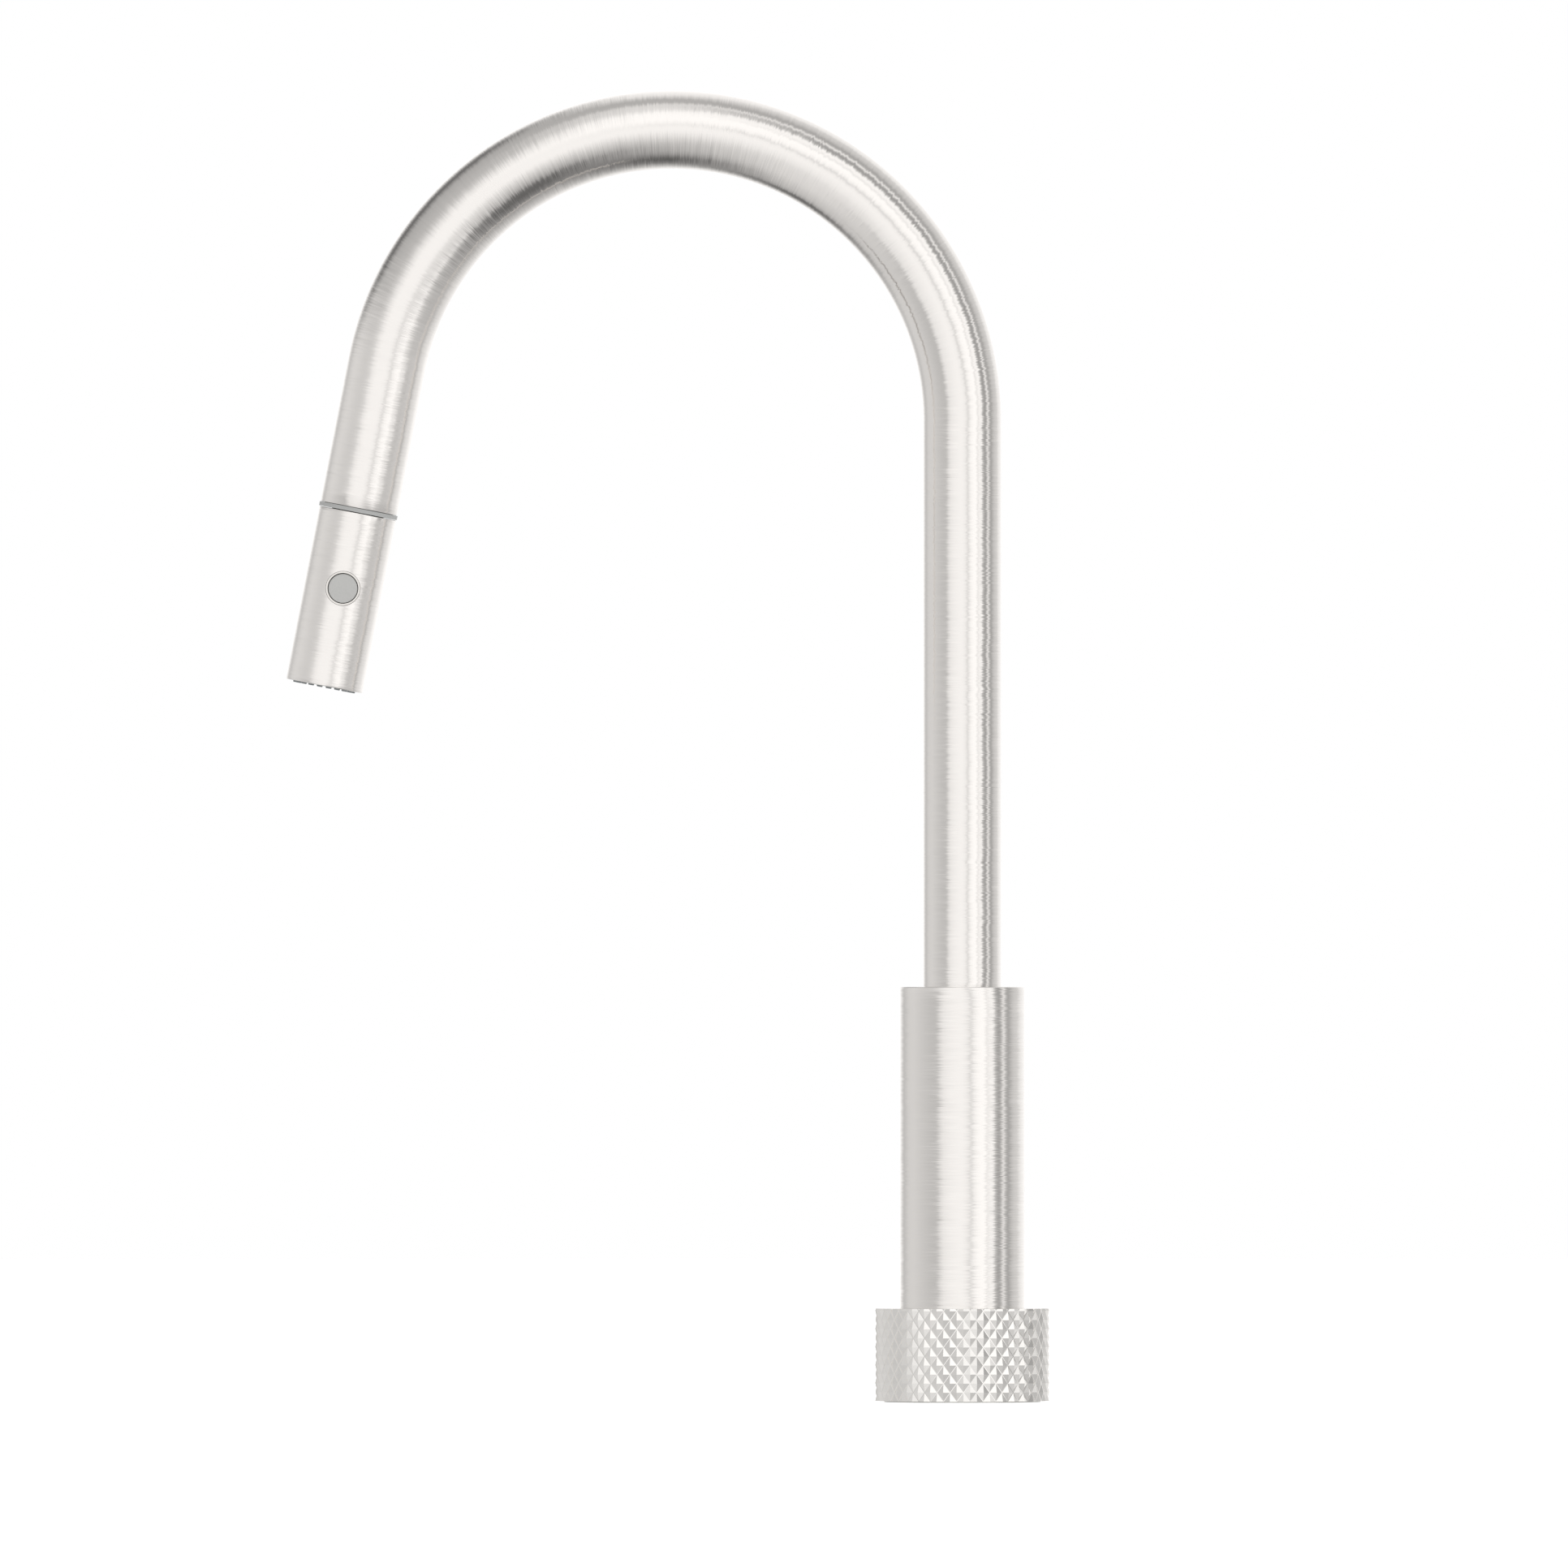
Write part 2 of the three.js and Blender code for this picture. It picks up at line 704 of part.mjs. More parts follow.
const grooveR = tubeR - slipRingDepth;
const sealInnerR = tubeR + runGap / 2 - oRingSection;
const sealGrooveR = sealInnerR - faceGap;

// The plug on the tube's lower end: grooves for two slip rings and a seal, and an arc groove whose ends meet
// the stop screw.
function spoutConnector() {
  const shape = turned(
    [
      [hoseHoleR, connectorBottom],
      [tubeR, connectorBottom],
      [tubeR, lowerSlipZ],
      [grooveR, lowerSlipZ],
      [grooveR, lowerSlipZ + slipRingHeight],
      [tubeR, lowerSlipZ + slipRingHeight],
      [tubeR, spoutSealZ],
      [sealGrooveR, spoutSealZ],
      [sealGrooveR, spoutSealZ + oRingSection + 2 * faceGap],
      [tubeR, spoutSealZ + oRingSection + 2 * faceGap],
      [tubeR, upperSlipZ],
      [grooveR, upperSlipZ],
      [grooveR, upperSlipZ + slipRingHeight],
      [tubeR, upperSlipZ + slipRingHeight],
      [tubeR, tubeBottom - faceGap],
      [tubeBoreR - fixedGap, tubeBottom - faceGap],
      [tubeBoreR - fixedGap, tubeBottom + connectorSpigot],
      [hoseHoleR, tubeBottom + connectorSpigot],
    ],
    medium,
    true,
  );
  const half = screwR + fixedGap;
  const floorR = tubeR - stopGrooveDepth;
  const reach = spoutSwing + THREE.MathUtils.radToDeg(half / floorR);
  const groove = arcBlock(floorR, tubeR + overcut, stopScrewZ - half, stopScrewZ + half, -reach, reach);
  return cut(shape, groove);
}

function slipRing(z) {
  const [bottom, top] = [z + faceGap, z + slipRingHeight - faceGap];
  return sleeve(grooveR + fixedGap / 2, tubeR + runGap / 2, bottom, top, medium);
}

add(faucet, "spout_tube", alongGooseneck(tubeR, tubeBoreR, tubeBottom, legLength, tubeSides), steel);
add(faucet, "spout_connector", spoutConnector(), brass);
add(faucet, "upper_slip_ring", slipRing(upperSlipZ), nylon);
add(faucet, "lower_slip_ring", slipRing(lowerSlipZ), nylon);
const spoutSeal = oRing(sealInnerR, oRingSection, spoutSealZ + faceGap + oRingSection / 2);
add(faucet, "spout_seal", spoutSeal, rubber);

// The dock is a plastic bush in the tube's end, with a flange that shows as a grey line above the head.
const dockMouthR = neckDiameter / 2 + runGap;
const dockLipR = ferruleDiameter / 2 + runGap;
const dockTop = -legLength + dockDepth;
const dockShoulder = neckTop + fixedGap;

function dockBush() {
  const flangeR = tubeR + dockRingProud;
  return turned(
    [
      [dockMouthR, dockRingBottom],
      [flangeR, dockRingBottom],
      [flangeR, -legLength - faceGap],
      [tubeBoreR - fixedGap, -legLength - faceGap],
      [tubeBoreR - fixedGap, dockTop + dockLip],
      [dockLipR, dockTop + dockLip],
      [dockLipR, dockShoulder],
      [dockMouthR, dockShoulder],
    ],
    fine,
    true,
  );
}

add(leg, "dock_bush", dockBush(), greyPlastic);

// ---------------------------------------------------------------- hose

const tailTop = -shankLength - tailDrop;
const ferruleBottom = neckTop + faceGap;
const ferruleTop = ferruleBottom + ferruleLength;
const hoseEnd = ferruleBottom + ferruleFloor + faceGap;
const swivelSealZ = ferruleBottom - swivelLength / 2;

// A square-section seal that stands proud of its groove in a shaft.
function grooveSeal(shaftR, z) {
  const innerR = shaftR - sealGrooveDepth + faceGap;
  const half = sealWidth / 2;
  return sleeve(innerR, shaftR + runGap / 2, z - half, z + half, medium);
}

// The end of the hose: a crimped ferrule, and a nipple that the spray head turns on.
function hoseFerrule() {
  const outerR = ferruleDiameter / 2;
  const nippleR = swivelDiameter / 2;
  const waterR = nippleR - swivelWall;
  const nippleEnd = ferruleBottom - swivelLength;
  const grooveHalf = sealWidth / 2 + faceGap;
  return turned(
    [
      [waterR, nippleEnd],
      [nippleR, nippleEnd],
      [nippleR, swivelSealZ - grooveHalf],
      [nippleR - sealGrooveDepth, swivelSealZ - grooveHalf],
      [nippleR - sealGrooveDepth, swivelSealZ + grooveHalf],
      [nippleR, swivelSealZ + grooveHalf],
      [nippleR, ferruleBottom],
      [outerR, ferruleBottom],
      [outerR, ferruleTop],
      [hoseR + fixedGap, ferruleTop],
      [hoseR + fixedGap, ferruleBottom + ferruleFloor],
      [waterR, ferruleBottom + ferruleFloor],
    ],
    medium,
    true,
  );
}

// The fitting on the hose's lower end.
function hoseTailFitting() {
  const plugBottom = tailTop - tailFittingLength;
  const shoulder = tailTop - tailFittingLength / 2;
  const plugR = hoseR - tailStep;
  const waterR = plugR - swivelWall;
  const rimR = hoseR + tailRim;
  return turned(
    [
      [waterR, plugBottom],
      [plugR, plugBottom],
      [plugR, shoulder],
      [rimR, shoulder],
      [rimR, tailTop],
      [waterR, tailTop],
    ],
    medium,
    true,
  );
}

add(faucet, "spout_hose", alongGooseneck(hoseR, 0, tailTop + faceGap, hoseJoin, hoseSides), braid);
add(leg, "hose_lead", rod(hoseR, hoseEnd, -hoseJoin - fixedGap, hoseSides), braid);
add(leg, "hose_ferrule", hoseFerrule(), steel);
add(leg, "swivel_seal", grooveSeal(swivelDiameter / 2, swivelSealZ), rubber);
add(faucet, "hose_tail_fitting", hoseTailFitting(), brass);

// ---------------------------------------------------------------- spray head

const buttonR = buttonDiameter / 2;
const bezelBoreR = buttonR + runGap / 2;
const bezelR = bezelBoreR + bezelWidth;
const bezelFace = tubeR + bezelProud;
const bezelBack = bezelFace - bezelDepth;
const buttonFace = tubeR;
const buttonBack = buttonFace - buttonThickness;
const springSeat = buttonBack - buttonTravel - springRoom;
const spoolOuterEnd = springSeat - springFloor;
const spoolR = spoolDiameter / 2;
const nozzleR = nozzleDiameter / 2;
const aeratorR = aeratorDiameter / 2;
const faceBottom = headEnd + faceRecess;
const faceTop = faceBottom + facePlateThickness;
const matBottom = faceTop + faceGap;
const chamberBottom = matBottom + matThickness + faceGap;
const chamberTop = chamberBottom + chamberHeight;
const housingBottom = chamberTop + faceGap;
const dockSealZ = (headTop + neckTop) / 2;

function headShell() {
  const tube = sleeve(headBoreR, tubeR, headEnd, headTop, fine);
  return cut(tube, rodTowardsButton(bezelR + fixedGap, 0, tubeR + overcut, buttonZ, medium));
}

// The neck that plugs into the dock, with its flange inside the top of the shell.
function headNeck() {
  const flangeTop = headTop - fixedGap;
  const flangeBottom = flangeTop - neckFlange;
  const threadBottom = flangeBottom - neckThreadLength;
  const nippleHoleR = swivelDiameter / 2 + runGap;
  const nippleHoleEnd = ferruleBottom - swivelLength - fixedGap;
  const neckR = neckDiameter / 2;
  const grooveHalf = sealWidth / 2 + faceGap;
  const waterR = nippleHoleR - swivelWall;
  return turned(
    [
      [waterR, threadBottom],
      [neckThreadDiameter / 2, threadBottom],
      [neckThreadDiameter / 2, flangeBottom],
      [housingR, flangeBottom],
      [housingR, flangeTop],
      [neckR, flangeTop],
      [neckR, dockSealZ - grooveHalf],
      [neckR - sealGrooveDepth, dockSealZ - grooveHalf],
      [neckR - sealGrooveDepth, dockSealZ + grooveHalf],
      [neckR, dockSealZ + grooveHalf],
      [neckR, neckTop],
      [nippleHoleR, neckTop],
      [nippleHoleR, nippleHoleEnd],
      [waterR, nippleHoleEnd],
    ],
    medium,
    true,
  );
}

// The valve block: the neck screws into its top, the button's spool slides across it, and one passage feeds
// the stream and two feed the spray.
function diverterHousing() {
  const block = rod(housingR, housingBottom, housingTop, fine);
  const cupBottom = housingTop - neckThreadLength - fixedGap;
  const valveBottom = cupBottom - checkValveLength - fixedGap;
  const spoolBoreEnd = spoolOuterEnd - spoolLength - buttonTravel - fixedGap;
  const sprayHole = () => rod(sprayPassage / 2, housingBottom - overcut, buttonZ, coarse);
  const sprayHoleCircleR = housingR - sprayPassageInset;
  const tools = [
    rod(neckThreadDiameter / 2 + fixedGap, cupBottom, housingTop + overcut, medium),
    rod(checkValveDiameter / 2 + fixedGap, valveBottom, housingTop, medium),
    rod(valvePassage / 2, buttonZ, housingTop, coarse),
    rod(streamPassage / 2, housingBottom - overcut, buttonZ, coarse),
    rodTowardsButton(spoolR + fixedGap, spoolBoreEnd, tubeR, buttonZ, medium),
    rodTowardsButton(bezelBoreR, springSeat, tubeR, buttonZ, medium),
    rodTowardsButton(bezelR + fixedGap, bezelBack - fixedGap, tubeR + overcut, buttonZ, medium),
    placeRound(sprayHole(), 0, sprayHoleCircleR),
    placeRound(sprayHole(), 180, sprayHoleCircleR),
  ];
  return cut(block, ...tools);
}

function sprayButton() {
  const stemR = spoolR / 2;
  const shape = turned(
    [
      [0, spoolOuterEnd + faceGap],
      [stemR, spoolOuterEnd + faceGap],
      [stemR, buttonBack],
      [buttonR, buttonBack],
      [buttonR, buttonFace - buttonEdge],
      [buttonR - buttonEdge, buttonFace],
      [0, buttonFace],
    ],
    medium,
  );
  return shape.rotateX(Math.PI / 2).translate(0, 0, buttonZ);
}

function diverterSpool() {
  const inner = spoolOuterEnd - spoolLength;
  const waistR = spoolR - spoolWaist;
  const shape = turned(
    [
      [0, inner],
      [spoolR, inner],
      [spoolR, inner + spoolLand],
      [waistR, inner + spoolLand],
      [waistR, spoolOuterEnd - spoolLand],
      [spoolR, spoolOuterEnd - spoolLand],
      [spoolR, spoolOuterEnd],
      [0, spoolOuterEnd],
    ],
    medium,
  );
  return shape.rotateX(Math.PI / 2).translate(0, 0, buttonZ);
}

class Helix extends THREE.Curve {
  constructor(radius, height, turns) {
    super();
    Object.assign(this, { radius, height, turns });
  }
  getPoint(t) {
    const angle = 2 * Math.PI * this.turns * t;
    return new THREE.Vector3(this.radius * Math.cos(angle), this.radius * Math.sin(angle), this.height * t);
  }
}

function buttonSpring() {
  const wireR = springWire / 2;
  const radius = buttonR - wireR - springSideGap;
  const height = buttonBack - springSeat - springWire - 2 * faceGap;
  const section = new THREE.Shape().absarc(0, 0, wireR, 0, 2 * Math.PI, false);
  const helix = new Helix(radius, height, springTurns);
  const steps = springStepsPerTurn * springTurns;
  const settings = { steps, extrudePath: helix, curveSegments: 2 };
  const coil = new THREE.ExtrudeGeometry(section, settings).translate(0, 0, springSeat + wireR + faceGap);
  return coil.rotateX(Math.PI / 2).translate(0, 0, buttonZ);
}

function buttonBezel() {
  const ring = sleeve(bezelBoreR, bezelR, bezelBack, bezelFace, medium);
  return ring.rotateX(Math.PI / 2).translate(0, 0, buttonZ);
}

function aroundNozzles(make) {
  const angles = Array.from({ length: nozzleCount }, (_, i) => ((i + 0.5) * 360) / nozzleCount);
  return angles.map((angle) => placeRound(make(), angle, nozzleCircle / 2));
}

function sprayFace() {
  const plate = sleeve(aeratorR + fixedGap, housingR, faceBottom, faceTop, fine);
  const hole = () => rod(nozzleR + faceGap, faceBottom - overcut, faceTop + overcut, tiny);
  return cut(plate, ...aroundNozzles(hole));
}

function nozzleMat() {
  const mat = sleeve(aeratorR + fixedGap, housingR, matBottom, matBottom + matThickness, fine);
  const [tip, root] = [headEnd - nozzleProud, matBottom + matThickness / 2];
  return join(mat, ...aroundNozzles(() => rod(nozzleR, tip, root, tiny)));
}

// The chamber keeps the ring of spray water apart from the stream in the middle.
function sprayChamber() {
  const innerR = aeratorR + fixedGap;
  const partingR = innerR + chamberWall;
  const roofBottom = chamberTop - chamberRoof;
  return turned(
    [
      [innerR, chamberBottom],
      [partingR, chamberBottom],
      [partingR, roofBottom],
      [housingR - chamberWall, roofBottom],
      [housingR - chamberWall, chamberBottom],
      [housingR, chamberBottom],
      [housingR, chamberTop],
      [innerR, chamberTop],
    ],
    fine,
    true,
  );
}

function aerator() {
  const top = faceBottom + aeratorLength;
  const screenR = aeratorR - aeratorRim;
  const cupR = screenR - aeratorRim;
  return turned(
    [
      [0, faceBottom + aeratorRim],
      [screenR, faceBottom + aeratorRim],
      [screenR, faceBottom],
      [aeratorR, faceBottom],
      [aeratorR, top],
      [cupR, top],
      [cupR, top - aeratorCup],
      [0, top - aeratorCup],
    ],
    medium,
  );
}

const valveTop = housingTop - neckThreadLength - 2 * fixedGap;
const checkValveBottom = housingTop - neckThreadLength - fixedGap - checkValveLength;
add(leg, "head_shell", headShell(), steel);
add(leg, "head_neck", headNeck(), darkPlastic);
add(leg, "dock_seal", grooveSeal(neckDiameter / 2, dockSealZ), rubber);
const checkValve = sleeve(valvePassage / 2, checkValveDiameter / 2, checkValveBottom, valveTop, coarse);
add(leg, "check_valve", checkValve, nylon);
add(leg, "diverter_housing", diverterHousing(), darkPlastic);
add(leg, "spray_button", sprayButton(), greyPlastic);
add(leg, "diverter_spool", diverterSpool(), nylon);
add(leg, "button_spring", buttonSpring(), steel);
add(leg, "button_bezel", buttonBezel(), steel);
add(leg, "spray_face", sprayFace(), greyPlastic);
add(leg, "nozzle_mat", nozzleMat(), silicone);
add(leg, "spray_chamber", sprayChamber(), darkPlastic);
add(leg, "aerator", aerator(), darkPlastic);

export default faucet;
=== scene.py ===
import bpy
import json
import math
from mathutils import Matrix, Vector


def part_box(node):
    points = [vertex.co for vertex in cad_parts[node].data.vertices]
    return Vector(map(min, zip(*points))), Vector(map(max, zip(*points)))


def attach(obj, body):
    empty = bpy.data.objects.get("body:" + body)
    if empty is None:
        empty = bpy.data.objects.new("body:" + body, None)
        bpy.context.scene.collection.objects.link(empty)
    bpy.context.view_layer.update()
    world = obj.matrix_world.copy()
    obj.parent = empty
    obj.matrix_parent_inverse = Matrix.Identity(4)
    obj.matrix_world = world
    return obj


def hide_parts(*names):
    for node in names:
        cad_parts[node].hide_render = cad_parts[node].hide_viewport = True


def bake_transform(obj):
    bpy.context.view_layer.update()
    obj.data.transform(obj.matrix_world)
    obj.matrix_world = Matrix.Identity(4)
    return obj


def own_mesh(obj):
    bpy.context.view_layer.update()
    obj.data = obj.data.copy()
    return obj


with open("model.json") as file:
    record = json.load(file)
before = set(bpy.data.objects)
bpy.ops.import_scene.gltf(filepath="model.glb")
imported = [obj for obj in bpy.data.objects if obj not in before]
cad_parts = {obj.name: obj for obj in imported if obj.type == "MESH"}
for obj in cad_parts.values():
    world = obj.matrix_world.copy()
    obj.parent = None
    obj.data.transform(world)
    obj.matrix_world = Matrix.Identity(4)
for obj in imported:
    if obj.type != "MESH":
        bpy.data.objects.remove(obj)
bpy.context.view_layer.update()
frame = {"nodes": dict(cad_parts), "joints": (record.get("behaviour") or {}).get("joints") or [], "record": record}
scene = bpy.context.scene


# Camera: level, far off and long, so that it hardly shows perspective.

view = {"distance": 20.0, "frameWidth": 0.5031, "centre": (-0.0572, 0.1983), "sensor": 36.0}

cameraData = bpy.data.cameras.new("camera")
cameraData.sensor_width = view["sensor"]
cameraData.clip_end = 2 * view["distance"]
cameraData.lens = view["sensor"] * view["distance"] / view["frameWidth"]
camera = bpy.data.objects.new("camera", cameraData)
camera.location = (view["centre"][0], -view["distance"], view["centre"][1])
camera.rotation_euler = (math.radians(90), 0, 0)
scene.collection.objects.link(camera)
scene.camera = camera
scene.view_settings.view_transform = "Standard"
print("camera made")


# Nodes.

def hexColour(code):
    # An sRGB hex code as the linear colour that a shader needs.
    channels = [int(code[i:i + 2], 16) / 255 for i in (0, 2, 4)]
    return tuple(c / 12.92 if c <= 0.04045 else ((c + 0.055) / 1.055) ** 2.4 for c in channels) + (1,)


def addNode(tree, kind, *inputs, stops=(), **settings):
    # One node with its settings and links. The inputs are in order, or one dictionary that names them. Each
    # is a constant, or the socket that it is linked from. stops are a ramp's (place, shade) pairs.
    made = tree.nodes.new("ShaderNode" + kind)
    for name, value in settings.items():
        setattr(made, name, value)
    given = inputs[0] if inputs and isinstance(inputs[0], dict) else dict(enumerate(inputs))
    for key, value in given.items():
        if isinstance(value, bpy.types.NodeSocket):
            tree.links.new(value, made.inputs[key])
        else:
            made.inputs[key].default_value = value
    for _ in stops[2:]:
        made.color_ramp.elements.new(0.5)
    for number, (place, shade) in enumerate(sorted(stops)):
        made.color_ramp.elements[number].position = place
        made.color_ramp.elements[number].color = (shade, shade, shade, 1)
    return made.outputs[0]


def spread(tree, value, middle, amount):
    # A 0 to 1 value as middle, give or take amount.
    return addNode(tree, "Math", value, 2 * amount, middle - amount, operation="MULTIPLY_ADD")


# Studio: white to the camera, and panels and dark gaps all round that only the object reflects.

# Brightness by the angle from the camera's side, 0, to the far side, 180. Each arm stands at one place round
# the camera's axis: 0 is right, 90 up, 180 left and 270 down.
arms = {
    "right": ((0, 60), [
        (0, 0.98), (10, 0.93), (16, 0.70), (21, 0.90), (28, 1.02), (40, 1.07), (44, 1.0), (47, 0.80),
        (50, 0.97), (59, 1.02), (64, 0.52), (70, 0.32), (76, 0.40), (81, 0.85), (84, 0.80), (89, 0.45),
        (95, 0.38), (104, 0.53), (112, 0.60), (124, 0.66), (134, 0.84), (150, 0.92), (180, 1.05)]),
    "up": ((90, 95), [
        (0, 0.98), (16, 0.95), (30, 1.06), (50, 1.05), (64, 0.80), (80, 0.72), (90, 0.46), (102, 0.45),
        (114, 0.65), (126, 0.86), (150, 0.98), (180, 1.05)]),
    "upLeft": ((125, 150), [
        (0, 0.98), (28, 0.96), (42, 0.80), (54, 0.60), (66, 0.50), (102, 0.42), (114, 0.28), (126, 0.14),
        (138, 0.26), (150, 0.65), (165, 0.95), (180, 1.05)]),
    "leftAbove": ((167, 171), [
        (0, 0.98), (24, 0.99), (32, 0.94), (40, 0.86), (48, 0.73), (60, 0.66), (72, 0.66), (90, 0.70),
        (104, 0.72), (120, 0.68), (130, 0.61), (138, 0.58), (146, 0.68), (154, 0.85), (165, 0.98),
        (180, 1.05)]),
    "left": ((179, 205), [
        (0, 0.98), (20, 0.92), (36, 0.85), (43, 0.70), (49, 0.52), (60, 0.54), (75, 0.59), (100, 0.67),
        (118, 0.66), (130, 0.58), (138, 0.53), (146, 0.65), (155, 0.84), (165, 0.97), (180, 1.05)]),
    "downLeft": ((236, 242), [
        (0, 0.98), (18, 0.90), (30, 0.80), (54, 0.75), (66, 0.72), (90, 0.60), (102, 0.55), (114, 0.42),
        (126, 0.12), (138, 0.23), (150, 0.65), (165, 0.90), (180, 1.05)]),
    "down": ((270, 272), [
        (0, 0.98), (6, 0.95), (18, 0.83), (30, 0.67), (42, 0.54), (66, 0.42), (78, 0.30), (92, 0.12),
        (102, 0.10), (114, 0.18), (126, 0.38), (138, 0.62), (150, 0.85), (180, 1.0)]),
    "downRight": ((298, 308), [
        (0, 0.98), (6, 0.94), (18, 0.74), (30, 0.57), (42, 0.40), (54, 0.14), (66, 0.12), (78, 0.18),
        (90, 0.26), (102, 0.40), (126, 0.60), (150, 0.88), (180, 1.05)]),
    "lowRight": ((330, 337), [
        (0, 0.98), (18, 0.78), (30, 0.80), (42, 0.90), (54, 0.58), (66, 0.50), (90, 0.47), (102, 0.50),
        (116, 0.66), (150, 0.88), (180, 1.05)]),
    "rightBelow": ((347, 351), [
        (0, 0.98), (9, 0.95), (16, 0.80), (23, 0.97), (32, 1.06), (40, 1.06), (48, 0.90), (56, 0.77),
        (64, 0.62), (74, 0.59), (90, 0.59), (94, 0.42), (98, 0.40), (102, 0.58), (112, 0.73), (128, 0.83),
        (144, 0.99), (180, 1.05)]),
}

rampTop = 1.1           # the brightest value a ramp may hold, as a ramp itself ends at 1
studioStrength = 1.17   # what the ramps are multiplied by


def buildStudio():
    world = bpy.data.worlds.new("studio")
    world.use_nodes = True
    tree = world.node_tree
    tree.nodes.clear()
    direction = addNode(tree, "TexCoord").node.outputs["Generated"]
    axes = addNode(tree, "SeparateXYZ", {0: direction}).node.outputs
    depth = addNode(tree, "Math", axes["Y"], -1.0, operation="MULTIPLY")
    polar = addNode(tree, "Math", depth, operation="ARCCOSINE")
    polar = addNode(tree, "Math", polar, math.pi, operation="DIVIDE")
    turn = addNode(tree, "Math", axes["Z"], axes["X"], operation="ARCTAN2")
    turn = addNode(tree, "Math", turn, 2 * math.pi, operation="DIVIDE")
    turn = addNode(tree, "Math", turn, 1.0, operation="ADD")
    turn = addNode(tree, "Math", turn, operation="FRACT")
    names = list(arms)
    total = None
    for place, name in enumerate(names):
        (first, last), stops = arms[name]
        before = arms[names[place - 1]][0][1] - (360 if place == 0 else 0)
        after = arms[names[(place + 1) % len(names)]][0][0] + (360 if place == len(names) - 1 else 0)
        share = [(before / 360, 0), (first / 360, 1), (last / 360, 1), (after / 360, 0)]
        if before < 0:
            share = share[1:] + [((before + 360) / 360, 0), (1, 1)]
        weight = addNode(tree, "ValToRGB", turn, stops=share)
        scaled = [(angle / 180, value / rampTop) for angle, value in stops]
        shade = addNode(tree, "ValToRGB", polar, stops=scaled)
        product = addNode(tree, "Math", weight, shade, operation="MULTIPLY")
        total = product if total is None else addNode(tree, "Math", total, product, operation="ADD")
    strength = addNode(tree, "Math", total, studioStrength, operation="MULTIPLY")
    around = addNode(tree, "Background", {"Color": (1, 0.992, 0.985, 1), "Strength": strength})
    plain = addNode(tree, "Background", {"Color": (1, 1, 1, 1), "Strength": 1.0})
    seen = addNode(tree, "LightPath")
    mixed = addNode(tree, "MixShader", {0: seen, 1: around, 2: plain})
    output = tree.nodes.new("ShaderNodeOutputWorld")
    tree.links.new(mixed, output.inputs["Surface"])
    scene.world = world


buildStudio()
print("studio made")


# Materials.

def newMaterial(name, colour, **values):
    material = bpy.data.materials.new(name)
    material.use_nodes = True
    tree = material.node_tree
    shader = tree.nodes["Principled BSDF"]
    shader.inputs["Base Color"].default_value = hexColour(colour)
    for key, value in values.items():
        shader.inputs[key.replace("_", " ")].default_value = value
    return material, tree, shader


def aroundAxis(tree, alongScale, aroundScale):
    # Pattern coordinates on a turned or swept piece, from its UV: metres along it, and turns round it.
    uv = addNode(tree, "UVMap")
    axes = addNode(tree, "SeparateXYZ", {0: uv}).node.outputs
    angle = addNode(tree, "Math", axes["Y"], 2 * math.pi, operation="MULTIPLY")
    along = addNode(tree, "Math", axes["X"], alongScale, operation="MULTIPLY")
    side = addNode(tree, "Math", angle, operation="COSINE")
    side = addNode(tree, "Math", side, aroundScale, operation="MULTIPLY")
    other = addNode(tree, "Math", angle, operation="SINE")
    other = addNode(tree, "Math", other, aroundScale, operation="MULTIPLY")
    return addNode(tree, "CombineXYZ", {0: along, 1: side, 2: other})


def brushedMetal(name, sizes):
    material, tree, shader = newMaterial(name, sizes["colour"], Metallic=1.0, Anisotropic=sizes["stretch"])
    lineCoords = aroundAxis(tree, 1 / sizes["lineWidth"], sizes["radius"] / sizes["lineLength"])
    lines = addNode(tree, "TexNoise", {"Vector": lineCoords, "Scale": 1.0, "Detail": 3.0})
    bandCoords = aroundAxis(tree, 1 / sizes["bandWidth"], sizes["radius"] / sizes["bandLength"])
    bands = addNode(tree, "TexNoise", {"Vector": bandCoords, "Scale": 1.0, "Detail": 2.0})
    tangent = addNode(tree, "Tangent", direction_type="UV_MAP")
    normal = addNode(tree, "NewGeometry").node.outputs["Normal"]
    across = addNode(tree, "VectorMath", normal, tangent, operation="CROSS_PRODUCT")
    shifted = addNode(tree, "VectorMath", lineCoords, (31.7, 5.3, 2.9), operation="ADD")
    sideLines = addNode(tree, "TexNoise", {"Vector": shifted, "Scale": 1.0, "Detail": 2.0})
    leaning = normal
    for axis, pattern, amount in ((tangent, lines, sizes["lineTilt"]), (tangent, bands, sizes["bandTilt"]),
                                  (across, sideLines, sizes["sideTilt"])):
        share = addNode(tree, "Math", pattern, 0.5, operation="SUBTRACT")
        share = addNode(tree, "Math", share, amount, operation="MULTIPLY")
        push = addNode(tree, "VectorMath", {0: axis, "Scale": share}, operation="SCALE")
        leaning = addNode(tree, "VectorMath", leaning, push, operation="ADD")
    leaning = addNode(tree, "VectorMath", leaning, operation="NORMALIZE")
    roughness = spread(tree, bands, sizes["roughness"], sizes["roughnessSpread"])
    tree.links.new(roughness, shader.inputs["Roughness"])
    tree.links.new(leaning, shader.inputs["Normal"])
    tree.links.new(tangent, shader.inputs["Tangent"])
    return material


